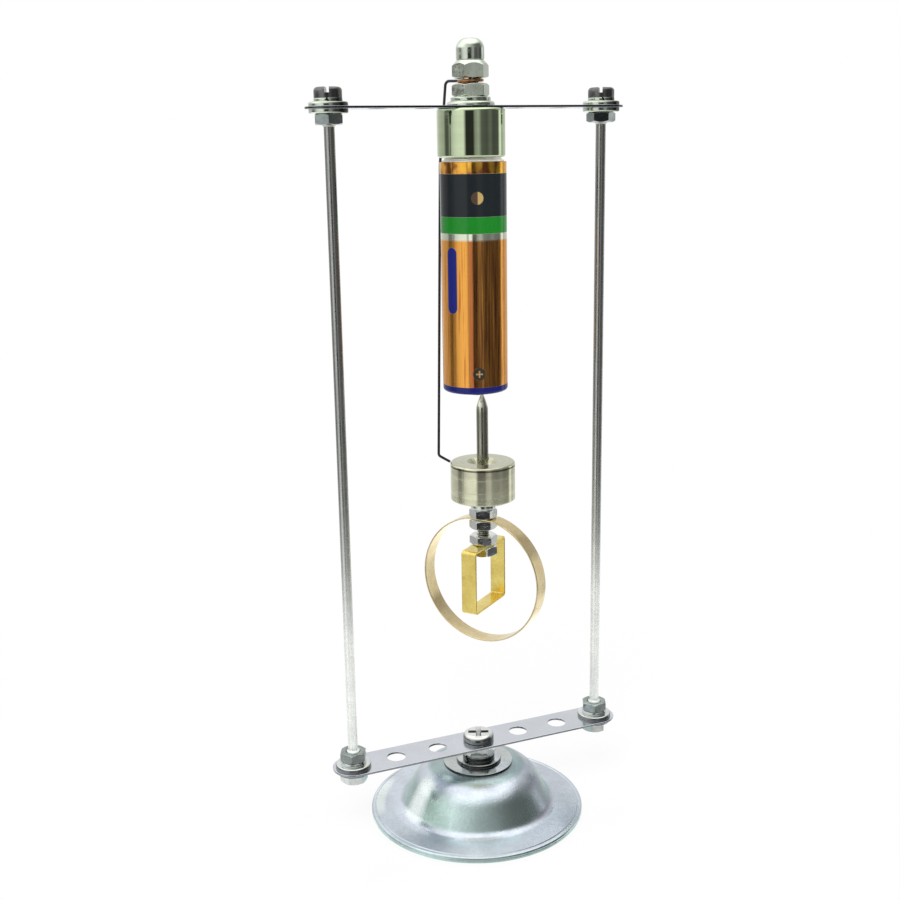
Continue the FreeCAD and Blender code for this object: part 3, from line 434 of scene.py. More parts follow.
def threaded(centre, crest, pitch, bottom, top, below, above, segments=48):
    """A turned piece with a real helical thread between two heights, and plain rings below and above."""
    shape = bmesh.new()
    root = crest - pitch * 0.6
    profile = ((0.0, root), (0.18, root), (0.45, crest), (0.73, crest))
    rows = [[corner] * segments for corner in below]
    first = len(rows)
    for i in range(-1, int((top - bottom) / pitch) + 2):
        for offset, radius in profile:
            heights = [bottom + pitch * (i + offset + k / segments) for k in range(segments)]
            rows.append([
                (radius if bottom < height < top else root, min(max(height, bottom), top)) for height in heights])
    last = len(rows)
    rows += [[corner] * segments for corner in above]
    grid = [[
        shape.verts.new(round_point(centre, radius, TURN * k / segments, height))
        for k, (radius, height) in enumerate(row)] for row in rows]
    for r in range(len(grid) - 1):
        here, there = grid[r], grid[r + 1]
        next_here, next_there = here, there
        if first <= r and r + 1 < last:
            # a turn of the thread ends where the next one starts, one profile further up
            next_here, next_there = (grid[min(r + len(profile) + up, last - 1)] for up in (0, 1))
        here, there = here + next_here[:1], there + next_there[:1]
        for k in range(segments):
            corners = list(dict.fromkeys((here[k], here[k + 1], there[k + 1], there[k])))
            if len(corners) > 2:
                shape.faces.new(corners)
    return shape


def band_loop(node, path, turn, thick, band, base, top, finish):
    """Sweeps a flat band with rounded edges along a closed path and cuts the pin's hole through its top.

    A place on the path is (across, up, normal across, normal up).
    """
    shape = bmesh.new()
    half = band / 2
    edge = thick * 0.35
    section = soften([(0, -half, edge), (thick, -half, edge), (thick, half, edge), (0, half, edge)], 3)
    along = Vector((math.cos(turn), math.sin(turn), 0))
    wide = Vector((-math.sin(turn), math.cos(turn), 0))
    up = Vector((0, 0, 1))
    origin = Vector((*ROTOR_AXIS, base))
    rings = []
    for across, rise, normal_across, normal_up in path:
        normal = along * normal_across + up * normal_up
        point = origin + along * across + up * rise
        rings.append([shape.verts.new(point - normal * depth + wide * side) for depth, side in section])
    join_rings(shape, rings)
    piece = finish_mesh(node + "_finished", shape, 40)
    cut(piece, rod(ROTOR_AXIS, 1.35, top - 1.0, top + 1.0), 40)
    fit(piece, node, finish)


# ---- shading helpers

def fill(tree, node, inputs):
    """Fills a node's inputs with values or links."""
    for key, value in inputs.items():
        if isinstance(value, bpy.types.NodeSocket):
            tree.links.new(value, node.inputs[key])
        else:
            node.inputs[key].default_value = value


def add_node(tree, kind, inputs=None, **settings):
    """Adds a node, sets its settings and fills its inputs."""
    node = tree.nodes.new(kind)
    for key, value in settings.items():
        setattr(node, key, value)
    fill(tree, node, inputs or {})
    return node


def maths(tree, operation, first, second=0.0):
    return add_node(tree, "ShaderNodeMath", {0: first, 1: second}, operation=operation).outputs[0]


def times(tree, first, second):
    return maths(tree, "MULTIPLY", first, second)


def plus(tree, first, second):
    return maths(tree, "ADD", first, second)


def minus(tree, first, second):
    return maths(tree, "SUBTRACT", first, second)


def distance(tree, first, second):
    return maths(tree, "SQRT", plus(tree, times(tree, first, first), times(tree, second, second)))


def towards(tree, east, north, facing):
    """How far a place or a normal reaches in a direction given in degrees."""
    turn = math.radians(facing)
    return plus(tree, times(tree, east, math.cos(turn)), times(tree, north, math.sin(turn)))


def turned_from(tree, angle, start):
    """An angle measured from a direction in degrees, within half a turn either way."""
    shifted = minus(tree, angle, math.radians(start))
    return add_node(tree, "ShaderNodeMath", {0: shifted, 1: math.pi, 2: -math.pi}, operation="WRAP").outputs[0]


def between(tree, factor, first, second, blend="MIX"):
    """Mixes two colours by a factor."""
    return add_node(
        tree, "ShaderNodeMix", {0: factor, 6: first, 7: second}, data_type="RGBA", blend_type=blend).outputs[2]


def spread(tree, value, low, high, to_low=0.0, to_high=1.0):
    return add_node(tree, "ShaderNodeMapRange", {
        "Value": value, "From Min": low, "From Max": high, "To Min": to_low, "To Max": to_high,
    }).outputs["Result"]


def step_band(tree, place, low, high, soft=0.05):
    """One between two limits in millimetres, nought outside."""
    return times(
        tree, spread(tree, place, (low - soft) * MM, (low + soft) * MM),
        spread(tree, place, (high - soft) * MM, (high + soft) * MM, 1.0, 0.0))


def noise(tree, point, scale, detail, roughness=0.5):
    return add_node(tree, "ShaderNodeTexNoise", {
        "Vector": point, "Scale": scale, "Detail": detail, "Roughness": roughness}).outputs[0]


def model_point(tree):
    return add_node(tree, "ShaderNodeTexCoord").outputs["Object"]


def separate(tree, vector):
    return add_node(tree, "ShaderNodeSeparateXYZ", {0: vector}).outputs


def normal_parts(tree):
    return separate(tree, add_node(tree, "ShaderNodeNewGeometry").outputs["Normal"])


def from_axis(tree, x, y):
    """East, north and distance from an upright axis, and the height, all in metres."""
    place = separate(tree, model_point(tree))
    east, north = minus(tree, place[0], x), minus(tree, place[1], y)
    return east, north, distance(tree, east, north), place[2]


def dimmer(values, scale):
    return tuple(value * scale for value in values)


def rgba(values, scale=1.0):
    return (*dimmer(values, scale), 1.0)


def shared_group(name, inputs, build):
    """A node group with plain number inputs, made once. build gives its outputs by name."""
    if name in bpy.data.node_groups:
        return bpy.data.node_groups[name]
    group = bpy.data.node_groups.new(name, "ShaderNodeTree")
    for socket_name, default in inputs.items():
        socket = group.interface.new_socket(name=socket_name, in_out="INPUT", socket_type="NodeSocketFloat")
        socket.default_value = default
    given = group.nodes.new("NodeGroupInput").outputs
    result = group.nodes.new("NodeGroupOutput")
    for socket_name, value in build(group, given).items():
        group.interface.new_socket(name=socket_name, in_out="OUTPUT", socket_type="NodeSocketFloat")
        group.links.new(value, result.inputs[socket_name])
    return group


def use_group(tree, group, **values):
    node = tree.nodes.new("ShaderNodeGroup")
    node.node_tree = group
    fill(tree, node, {key.replace("_", " "): value for key, value in values.items()})
    return node.outputs


def plating(tree, **values):
    """Mottled tone, fine pits, hairline scratches and waves of plated steel, and a mask of its steep sides."""
    def build(group, given):
        point = model_point(group)
        cloud = noise(group, point, given["Cloud"], 3.0, 0.55)
        grain = noise(group, point, given["Grain"], 4.0, 0.6)
        cells = add_node(group, "ShaderNodeTexVoronoi", {"Vector": point, "Scale": given["Grain"]}, feature="F1")
        stretched = add_node(group, "ShaderNodeMapping", {
            "Vector": point, "Scale": (1.0, 0.12, 0.35), "Rotation": (0.3, 0.5, 0.9)})
        upright = maths(group, "ABSOLUTE", normal_parts(group)[2])
        return {
            "Tone": plus(group, times(group, cloud, 0.65), times(group, grain, 0.35)),
            "Pits": spread(group, cells.outputs["Distance"], 0.05, 0.4),
            "Lines": noise(group, stretched.outputs[0], given["Scratch"], 5.0, 0.7),
            "Waves": noise(group, point, given["Wave"], 1.0, 0.4),
            "Edge": spread(group, upright, 0.35, 0.80, 1.0, 0.0),
        }

    inputs = {"Grain": 900.0, "Cloud": 140.0, "Scratch": 350.0, "Wave": 700.0}
    return use_group(tree, shared_group("plated_surface", inputs, build), **values)


def turning(tree, **values):
    """Fine lathe lines round an upright axis at a place."""
    def build(group, given):
        east, north, reach, height = from_axis(group, given["Axis X"], given["Axis Y"])
        flat = add_node(group, "ShaderNodeCombineXYZ", {0: reach, 1: height}).outputs[0]
        return {
            "Height": noise(group, flat, given["Lines"], 2.0),
            "Tone": noise(group, flat, times(group, given["Lines"], 0.12), 2.0),
        }

    inputs = {"Axis X": 0.0, "Axis Y": 0.0, "Lines": 6000.0}
    return use_group(tree, shared_group("turning_marks", inputs, build), **values)


def new_material(name):
    """An empty material with its principled shader and output joined."""
    material = bpy.data.materials.new(name)
    material.use_nodes = True
    tree = material.node_tree
    tree.nodes.clear()
    shader = add_node(tree, "ShaderNodeBsdfPrincipled")
    add_node(tree, "ShaderNodeOutputMaterial", {0: shader.outputs[0]})
    return material, tree, shader


def grey_ramp(tree, value, stops):
    """A ramp of greys. A stop is (place, level)."""
    ramp = add_node(tree, "ShaderNodeValToRGB", {0: value})
    elements = ramp.color_ramp.elements
    while len(elements) > 1:
        elements.remove(elements[0])
    for i, (place, level) in enumerate(stops):
        element = elements[0] if i == 0 else elements.new(place)
        element.position = place
        element.color = (level, level, level, 1)
    return ramp.outputs[0]


def by_height(tree, stops):
    """A tone that follows the height in the model. A stop is (height in millimetres, tone)."""
    tallest = 200.0
    height = separate(tree, model_point(tree))[2]
    return grey_ramp(
        tree, maths(tree, "DIVIDE", height, tallest * MM), [(level / tallest, tone) for level, tone in stops])


def sector(tree, centre, facing, half_angle, inner, outer):
    """A mask over part of a round piece: between two radii, and round one direction in degrees."""
    east, north, reach, height = from_axis(tree, centre[0] * MM, centre[1] * MM)
    ring = step_band(tree, reach, inner, outer, 0.5)
    if half_angle >= 180:
        return ring
    narrow, wide = (math.cos(math.radians(half_angle * part)) for part in (0.5, 1.5))
    facing_share = maths(tree, "DIVIDE", towards(tree, east, north, facing), reach)
    return times(tree, ring, spread(tree, facing_share, wide, narrow))


def complete(tree, shader, base, rough, metal, relief, strength, depth):
    """Joins a finish to its shader. metal is one number, (height, level) stops or a mask."""
    if isinstance(metal, tuple):
        metal = by_height(tree, metal)
    bump = add_node(tree, "ShaderNodeBump", {"Height": relief, "Strength": strength, "Distance": depth})
    fill(tree, shader, {"Base Color": base, "Roughness": rough, "Metallic": metal, "Normal": bump.outputs[0]})


def plated(name, tint, dark=0.82, rough=(0.16, 0.30), grain=900.0, cloud=140.0, pit=0.015, line=0.02,
           wave=(0.0, 700.0), sides=None, heights=None, metal=1.0, shade=None, centre=(0.0, 0.0), toned=(),
           pale=()):
    """Plated or bare metal with mottling, pits, hairlines, a slight waviness and a tint on steep sides, which on
    strips, washers and the base screw is painted shade.

    heights holds its stops of tone by height, and shade a direction and how dark the painted shade makes the metal
    on that side.
    toned and pale hold sectors of a round piece: painted shade and reflections darken the plate, painted highlights
    whiten it.
    """
    material, tree, shader = new_material(name)
    surface = plating(tree, Grain=grain, Cloud=cloud, Wave=wave[1])
    tone = spread(tree, surface["Tone"], *PLATE_TONES)
    base = between(tree, tone, rgba(tint, dark), rgba(tint))
    # Steep sides take their own tint; on the strips, washers and base screw it is a darker painted shade
    if sides:
        base = between(tree, surface["Edge"], base, between(tree, tone, rgba(sides, dark), rgba(sides)))
    if heights:
        base = between(tree, 1.0, base, by_height(tree, heights), "MULTIPLY")
    # Painted shade and reflections: each toned sector multiplies the plate's colour darker
    for *place, level in toned:
        base = between(tree, sector(tree, centre, *place), base, rgba(level), "MULTIPLY")
    # Painted highlights: the pale sectors turn the plate whitish and less metallic
    if pale:
        oxide_and_painted_sheen = sector(tree, centre, *pale[0])
        for place in pale[1:]:
            oxide_and_painted_sheen = maths(tree, "MAXIMUM", oxide_and_painted_sheen, sector(tree, centre, *place))
        base = between(tree, oxide_and_painted_sheen, base, (0.90, 0.98, 0.96, 1.0))
        metal = spread(tree, oxide_and_painted_sheen, 0.0, 1.0, 1.0, 0.2)
    # Painted shade: the metal darkens where its normal turns towards one side
    if shade:
        facing, level = shade
        normal = normal_parts(tree)
        turned = towards(tree, normal[0], normal[1], facing)
        base = between(tree, spread(tree, turned, 0.0, 0.7), base, rgba(tint, level))
    relief = plus(tree, times(tree, surface["Pits"], pit), times(tree, surface["Lines"], line))
    relief = plus(tree, relief, times(tree, surface["Waves"], wave[0]))
    gloss = spread(tree, surface["Tone"], *PLATE_TONES, rough[1], rough[0])
    complete(tree, shader, base, gloss, metal, relief, 0.5, 0.001)
    return material


def magnet_material(name, axis, tint, rough, shade_low=0.88, shadow_line_height=None, metal=1.0, flat=1.0):
    """Nickel plate with turning marks, on rings round an upright axis, and a painted shadow line under the top
    edge.
    """
    material, tree, shader = new_material(name)
    marks = turning(tree, Axis_X=axis[0] * MM, Axis_Y=axis[1] * MM, Lines=5200.0)
    surface = plating(tree, Grain=700.0, Cloud=110.0)
    tone = plus(tree, times(tree, surface["Tone"], 0.5), times(tree, marks["Tone"], 0.5))
    shade = spread(tree, tone, 0.38, 0.62)
    side = between(tree, shade, rgba(tint, shade_low), rgba(tint))
    # flat below one dims the flat faces: painted shade
    face = between(tree, shade, rgba(tint, shade_low * flat), rgba(tint, flat))
    base = between(tree, surface["Edge"], face, side)
    # Painted shadow: a dark line just under the top rim
    if shadow_line_height:
        height = separate(tree, model_point(tree))[2]
        line = step_band(tree, height, shadow_line_height - 0.42, shadow_line_height - 0.02, 0.08)
        line = times(tree, surface["Edge"], line)
        base = between(tree, times(tree, line, 0.85), base, rgba(tint, 0.06))
    gloss = spread(tree, tone, 0.38, 0.62, rough * 1.4, rough)
    complete(tree, shader, base, gloss, metal, marks["Height"], 0.03, 0.0001)
    return material


def brass_material(name, tint):
    """Rolled brass: streaks, faint tarnish clouds and small dents."""
    material, tree, shader = new_material(name)
    surface = plating(tree, Grain=1500.0, Cloud=190.0, Scratch=500.0)
    tone = spread(tree, surface["Tone"], *PLATE_TONES)
    fresh = between(tree, tone, rgba((tint[0] * 0.78, tint[1] * 0.70, tint[2] * 0.60)), rgba(tint))
    stain = noise(tree, model_point(tree), 330.0, 5.0, 0.7)
    spots = spread(tree, stain, 0.60, 0.72, 0.0, 0.5)
    base = between(tree, spots, fresh, rgba((tint[0] * 0.62, tint[1] * 0.46, tint[2] * 0.40)))
    relief = plus(tree, times(tree, surface["Lines"], 0.02), times(tree, stain, 0.12))
    complete(tree, shader, base, spread(tree, surface["Lines"], *GRAIN_TONES, 0.12, 0.26), 1.0, relief, 0.5, 0.001)
    return material


def wire_material(name, enamel, copper, eye_bottom):
    """Black enamel, with bare copper where the eye is gripped."""
    material, tree, shader = new_material(name)
    east, north, reach, height = from_axis(tree, 0.0, 0.0)
    ragged = noise(tree, model_point(tree), 900.0, 3.0)
    near = spread(tree, plus(tree, reach, times(tree, ragged, 0.0008)), 0.0038, 0.0044, 1.0, 0.0)
    bare = times(tree, near, spread(tree, height, (eye_bottom - 0.4) * MM, (eye_bottom - 0.2) * MM))
    base = between(tree, bare, rgba(enamel), between(tree, ragged, rgba(copper, 0.55), rgba(copper)))
    complete(tree, shader, base, spread(tree, ragged, *GRAIN_TONES, 0.24, 0.40), bare, ragged, 0.04, 0.0001)
    return material


def dull(name, tint, dark, rough, grain, metal=0.0):
    """A plain dull stuff with grain, for the pieces inside the battery."""
    material, tree, shader = new_material(name)
    specks = noise(tree, model_point(tree), grain, 5.0, 0.65)
    base = between(tree, specks, rgba(dark), rgba(tint))
    complete(tree, shader, base, spread(tree, specks, *GRAIN_TONES, rough, rough * 0.8), metal, specks, 0.4, 0.0002)
    return material


def label_material(name, axis):
    """The battery's glossy printed sleeve: bands of colour, one round mark, a bare patch, a plus sign and a painted
    dark reflection down one side.
    """
    tones = colours()
    material, tree, shader = new_material(name)
    east, north, reach, height = from_axis(tree, axis[0] * MM, axis[1] * MM)
    angle = maths(tree, "ARCTAN2", north, east)

    def around(middle):
        """Distance round the sleeve, in metres, from a direction in degrees from the front."""
        return times(tree, turned_from(tree, angle, FRONT + middle), LABEL_RADIUS * MM)

    def within(place, half, soft):
        """One up to a distance in millimetres, nought beyond it."""
        return spread(tree, place, (half - soft) * MM, (half + soft) * MM, 1.0, 0.0)

    def disc(middle, level, radius):
        return within(distance(tree, around(middle), minus(tree, height, level * MM)), radius, 0.06)

    def bar(middle, level, half_wide, half_high):
        side = maths(tree, "ABSOLUTE", around(middle))
        rise = maths(tree, "ABSOLUTE", minus(tree, height, level * MM))
        return times(tree, within(side, half_wide, 0.05), within(rise, half_high, 0.05))

    def joined(mask, *others):
        for other in others:
            mask = maths(tree, "MAXIMUM", mask, other)
        return mask

    def swirl(rise):
        """A place that goes round with the sleeve, its height stretched."""
        parts = {0: maths(tree, "SINE", angle), 1: maths(tree, "COSINE", angle), 2: times(tree, height, rise)}
        return add_node(tree, "ShaderNodeCombineXYZ", parts).outputs[0]

    def painted(base, *layers):
        """The base with layers of (mask, colour) over it."""
        for mask, ink in layers:
            base = between(tree, mask, base, ink)
        return base

    point = model_point(tree)
    grain = noise(tree, point, 260.0, 3.0)
    streak = noise(tree, swirl(3.0), 20.0, 3.0, 0.6)
    cloud = noise(tree, swirl(90.0), 2.6, 2.0)
    # Painted reflection: one side of the sleeve, round 21 degrees from the front, darkened with deeper streaks
    painted_dark_reflection = spread(tree, maths(tree, "ABSOLUTE", around(21.0)), 3.0 * MM, 3.9 * MM, 1.0, 0.0)
    red_line = spread(tree, maths(tree, "ABSOLUTE", around(-6.0)), 0.25 * MM, 0.55 * MM, 0.85, 0.0)
    gold = painted(
        between(tree, grain, rgba(tones.label_gold, 0.90), rgba(tones.label_gold)),
        (spread(tree, streak, 0.53, 0.66, 0.0, 0.80), (0.45, 0.11, 0.025, 1.0)),
        (times(tree, painted_dark_reflection, spread(tree, streak, 0.36, 0.62, 0.35, 1.0)), (0.22, 0.085, 0.035, 1.0)),
        (red_line, (0.46, 0.13, 0.045, 1.0)))
    yellow = painted(
        between(tree, spread(tree, cloud, 0.40, 0.60), (1.0, 0.58, 0.055, 1.0), gold),
        (spread(tree, cloud, 0.55, 0.62, 0.0, 0.75), (0.30, 0.09, 0.03, 1.0)))

    blue_top, green_foot, black_foot, yellow_foot = 102.9, 135.5, 138.95, 147.78
    blue = step_band(tree, height, 90.0, blue_top)
    green = step_band(tree, height, green_foot, black_foot)
    black = step_band(tree, height, black_foot, yellow_foot)
    mark_side, patch_side, sign_side, sign_level = 6.5, -41.7, 7.0, 105.85
    mark = disc(mark_side, 142.8, 1.3)
    half_mark = times(tree, mark, spread(tree, around(mark_side), 0.05 * MM, 0.15 * MM))
    patch = joined(
        bar(patch_side, 125.65, 1.3, 5.7), disc(patch_side, 131.35, 1.3), disc(patch_side, 119.95, 1.3))
    badge = disc(sign_side, sign_level, 1.4)
    sign = joined(bar(sign_side, sign_level, 0.16, 0.75), bar(sign_side, sign_level, 0.75, 0.16))
    paint = painted(
        gold,
        (spread(tree, height, 133.85 * MM, 134.35 * MM), rgba(tones.label_silver)),
        (green, rgba(tones.label_green)),
        (black, rgba(tones.label_black)),
        (step_band(tree, height, yellow_foot, 152.0), yellow),
        (blue, rgba(tones.label_blue)),
        (mark, (0.085, 0.050, 0.035, 1.0)),
        (half_mark, (0.46, 0.33, 0.12, 1.0)),
        (patch, rgba(tones.label_blue, 1.2)),
        (badge, (0.035, 0.03, 0.022, 1.0)),
        (sign, (0.40, 0.24, 0.09, 1.0)))
    ink = joined(black, blue, mark, patch, badge, green, red_line)
    shader.inputs["Specular IOR Level"].default_value = 0.25
    complete(
        tree, shader, paint, spread(tree, grain, *GRAIN_TONES, 0.09, 0.15), spread(tree, ink, 0.0, 1.0, 0.92, 0.0),
        noise(tree, point, 120.0, 2.0), 0.12, 0.0003)
    return material


def build_materials():
    """All finishes, by the names the pieces ask for."""
    tones = colours()
    sheet = {"grain": 1500.0, "cloud": 120.0, "pit": 0.015, "line": 0.02}
    nut = {"grain": 1600.0, "cloud": 260.0, "pit": 0.012, "line": 0.015, "wave": (0.10, 420.0)}
    washer = {"grain": 1600.0, "cloud": 320.0, "pit": 0.02, "line": 0.02, "wave": (0.10, 420.0)}
    cell = {"grain": 1400.0, "cloud": 200.0, "pit": 0.01, "line": 0.01}
    low_zinc = tones.low_fastener
    return {
        # The dish's toned sectors are painted shade and reflections on the plateau, walls and flange; its pale
        # sectors are painted highlights on the shoulder and the flange
        "dish": plated(
            "zinc_dish", tones.dish, 0.76, (0.24, 0.34), 1300.0, 120.0, 0.03, 0.02, (0.40, 110.0), tones.dish_side,
            centre=DISH_AXIS, toned=(
                (0.0, 180.0, 0.0, 11.3, (0.64, 0.74, 0.68)), (-151.0, 11.0, 13.0, 18.0, (0.66, 0.70, 0.66)),
                (-162.0, 26.0, 20.0, 24.0, (0.84, 0.86, 0.85)), (-60.0, 40.0, 19.0, 24.0, (0.86, 0.88, 0.88)),
                (-46.0, 13.0, 13.5, 18.0, (0.68, 0.62, 0.70))),
            pale=((-172.0, 8.5, 12.4, 18.4), (150.0, 16.0, 22.0, 24.2))),
        # The strips' edges are darkened as painted shade, nearly black on the upper strip
        "strip": plated(
            "zinc_strip", tones.strip, 0.90, (0.14, 0.24), wave=(0.10, 150.0),
            sides=dimmer(tones.strip, 0.6), **sheet),
        "upper_strip": plated(
            "zinc_upper_strip", tones.strip, 0.90, (0.14, 0.24), wave=(0.05, 150.0),
            sides=dimmer(tones.strip, 0.16), **sheet),
        # The posts grow lighter and less metallic towards their feet, a painted highlight; from just under the
        # upper strip up they are much darker
        "post": plated(
            "zinc_post", tones.post, 0.84, (0.20, 0.34), 1600.0, 220.0, 0.01, 0.02, (0.05, 600.0),
            heights=((20.0, 1.0), (50.0, 0.97), (64.0, 0.74), (95.0, 0.54), (162.2, 0.50), (162.8, 0.19)),
            metal=((20.0, 0.25), (48.0, 0.35), (66.0, 0.85), (80.0, 1.0))),
        "fastener": plated("zinc_fastener", tones.fastener, 0.80, (0.06, 0.17), **nut),
        "low_fastener": plated("zinc_low_fastener", low_zinc, 0.80, (0.05, 0.15), **nut),
        "post_nut": plated("zinc_post_nut", tones.post_nut, 0.62, (0.08, 0.18), **nut),
        # The posts' upper washers get painted shade on one side
        "post_washer": plated(
            "zinc_post_washer", tones.fastener, 0.80, (0.08, 0.20), shade=(PAINTED_SHADE_SIDE, 0.10), **nut),
        # The base and low washers' rims are darkened as painted shade
        "base_washer": plated(
            "zinc_base_washer", dimmer(low_zinc, 0.78), 0.80, (0.08, 0.18), sides=dimmer(low_zinc, 0.09), **washer),
        "low_washer": plated(
            "zinc_low_washer", low_zinc, 0.80, (0.08, 0.18), sides=dimmer(low_zinc, 0.32), **washer),
        # The base screw's head flank is darkened as painted shade, and the screw is darker below the top of its
        # head
        "base_screw": plated(
            "zinc_base_screw", (0.95, 0.97, 0.94), 0.84, (0.07, 0.18), 1600.0, 320.0, 0.02, 0.02, (0.12, 420.0),
            dimmer(low_zinc, 0.42), ((SCREW_TOP - 0.8, 0.70), (SCREW_TOP - 0.12, 1.0))),
        "hanger": magnet_material("nickel_hanger", BOLT_AXIS, tones.hanger, 0.04),
        # Rotor: a painted shadow line under the top rim, flat faces dimmed as painted shade, and less metal lower
        # down the stack, which paints it lighter
        "rotor": magnet_material(
            "nickel_rotor", ROTOR_AXIS, tones.rotor, 0.08, 0.72, DISCS_TOP - 0.5,
            ((DISCS_TOP - 8.7, 0.70), (DISCS_TOP, 0.90)), 0.66),
        "brass": brass_material("brass_square", tones.brass),
        "pale_brass": brass_material("brass_round", tones.pale_brass),
        "pin": plated(
            "pin_steel", tones.pin, 0.75, (0.16, 0.32), 1800.0, 300.0, 0.01, 0.02,
            heights=((40.0, 0.5), (96.2, 0.52), (97.6, 1.0))),
        "wire": wire_material("enamelled_wire", tones.enamel, tones.copper, 166.0),
        "label": label_material("battery_sleeve", BATTERY_AXIS),
        "cell": plated("cell_steel", (0.78, 0.78, 0.75), 0.9, (0.12, 0.22), **cell),
        "cap": plated("cap_steel", (1.0, 0.97, 0.92), 0.9, (0.12, 0.22), metal=0.35, **cell),
        "cathode": dull("oxide_and_painted_sheen", (0.06, 0.06, 0.06), (0.02, 0.02, 0.02), 0.8, 2500.0),
        "separator": dull("paper", (0.88, 0.86, 0.80), (0.70, 0.68, 0.62), 0.9, 3000.0),
        "anode": dull("zinc_paste", (0.42, 0.43, 0.46), (0.22, 0.23, 0.26), 0.6, 2500.0, 0.4),
        "collector": plated("collector_brass", (0.78, 0.62, 0.30), 0.85),
        "seal": dull("nylon", (0.10, 0.11, 0.13), (0.06, 0.07, 0.09), 0.5, 1800.0),
    }


FINISH = {}
BATTERY_AXIS = Span("battery_label").centre
LABEL_RADIUS = Span("battery_label").reach
ROTOR_AXIS = Span("rotor_magnet_top").centre
DISCS_TOP = Span("rotor_magnet_top").top
SCREW_TOP = Span("base_screw").top
DISH_AXIS = Span("base_dome").centre
BOLT_AXIS = (0.0, 0.0)


# ---- operators, one for each piece or group of like pieces

class MOTOR_OT_finishes(bpy.types.Operator):
    """Make the metals, enamel, brass and label"""

    bl_idname = "motor.finishes"
    bl_label = "Finishes"

    def execute(self, context):
        FINISH.update(build_materials())
        return {"FINISHED"}


class MOTOR_OT_base_dish(bpy.types.Operator):
    """Press the base dish with its shoulder, foot and rolled rim"""

    bl_idname = "motor.base_dish"
    bl_label = "Base dish"

    def execute(self, context):
        low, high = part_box("base_dome")
        rim = (high.y - low.y) / 2 / MM
        centre = ((low.x + high.x) / 2 / MM, (low.y + high.y) / 2 / MM)
        top = high.z / MM
        sheet, hole, rim_top, foot_height = 0.8, 2.9, 1.3, 2.2
        foot, shoulder = 17.8, 12.8
        turn_piece("base_dome", [
            (hole, top), (shoulder, top, 8.5), (foot, foot_height, 2.6),
            (rim - 1.15, rim_top + 0.16, 0.05), (rim - 0.97, rim_top - 0.06, 0.08),
            (rim - 0.75, rim_top + 0.12, 0.05), (rim, rim_top + 0.02, 0.45),
            (rim, 0.72, 0.06), (rim - 0.16, 0.62, 0.04), (rim, 0.52, 0.06), (rim, 0, 0.2),
            (rim - sheet, 0, 0.2), (rim - sheet, rim_top - sheet), (foot - sheet, foot_height - sheet, 2.6),
            (shoulder - sheet, top - sheet, 7.7), (hole, top - sheet),
        ], 14, centre, 192, 40, "dish")
        return {"FINISHED"}


class MOTOR_OT_strips(bpy.types.Operator):
    """Stamp the two perforated strips"""

    bl_idname = "motor.strips"
    bl_label = "Strips"

    def execute(self, context):
        own = sizes()
        edge = 0.09
        for node, finish in (("lower_strip", "strip"), ("upper_strip", "upper_strip")):
            low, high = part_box(node)
            low, high = low / MM, high / MM
            half_wide = (high.y - low.y) / 2
            straight = (high.x - low.x) / 2 - half_wide
            outline = []
            for end in (1, -1):
                for k in range(33):
                    angle = math.pi * (k / 32 - 0.5)
                    x = end * (straight + half_wide * math.cos(angle))
                    outline.append((x * MM, end * half_wide * math.sin(angle) * MM, 0))
            runs = [outline]
            for step in range(-3, 4):
                runs.append([
                    ((step * own.hole_pitch + own.strip_hole * math.cos(TURN * k / 48)) * MM,
                     own.strip_hole * math.sin(TURN * k / 48) * MM, 0) for k in range(48)])
            piece = curve_piece(
                node + "_finished", runs, True, 30, (low.z + high.z) / 2 * MM, dimensions="2D", fill_mode="BOTH",
                extrude=((high.z - low.z) / 2 - edge) * MM, bevel_depth=edge * MM, bevel_resolution=2,
                offset=-edge * MM)
            fit(piece, node, finish)
        return {"FINISHED"}


class MOTOR_OT_posts(bpy.types.Operator):
    """Turn the two long slotted screws"""

    bl_idname = "motor.posts"
    bl_label = "Posts"

    def execute(self, context):
        own = sizes()
        thread, shank, head = 1.45, 1.1, 2.85
        for side, turn in (("left", 68.0), ("right", 57.0)):
            node = side + "_post"
            bottom, top = Span(node).bottom, Span(node).top
            centre = (Span(side + "_top_washer").centre[0], 0.0)
            head_bottom = Span(side + "_top_spring_washer").top
            lower_top = Span(side + "_lower_nut").top
            upper_bottom = Span(side + "_upper_nut").bottom
            outline = soften([
                (0, bottom), (thread - 0.35, bottom, 0.05), (thread, bottom + 0.35, 0.05), (thread, lower_top),
                (shank, lower_top + 0.35, 0.1), (shank, upper_bottom - 0.35, 0.1), (thread, upper_bottom),
                (thread, head_bottom), (head, head_bottom, 0.12), (head, top, 0.75), (0, top),
            ], 4)
            piece = finish_mesh(node + "_finished", lathe(outline, centre, 72), 30)
            cut(piece, block((centre[0], 0, top), (4, own.slot_width / 2, own.slot_depth), math.radians(turn)), 30)
            soft_edges(piece, 0.06, 40)
            fit(piece, node, "post")
        return {"FINISHED"}


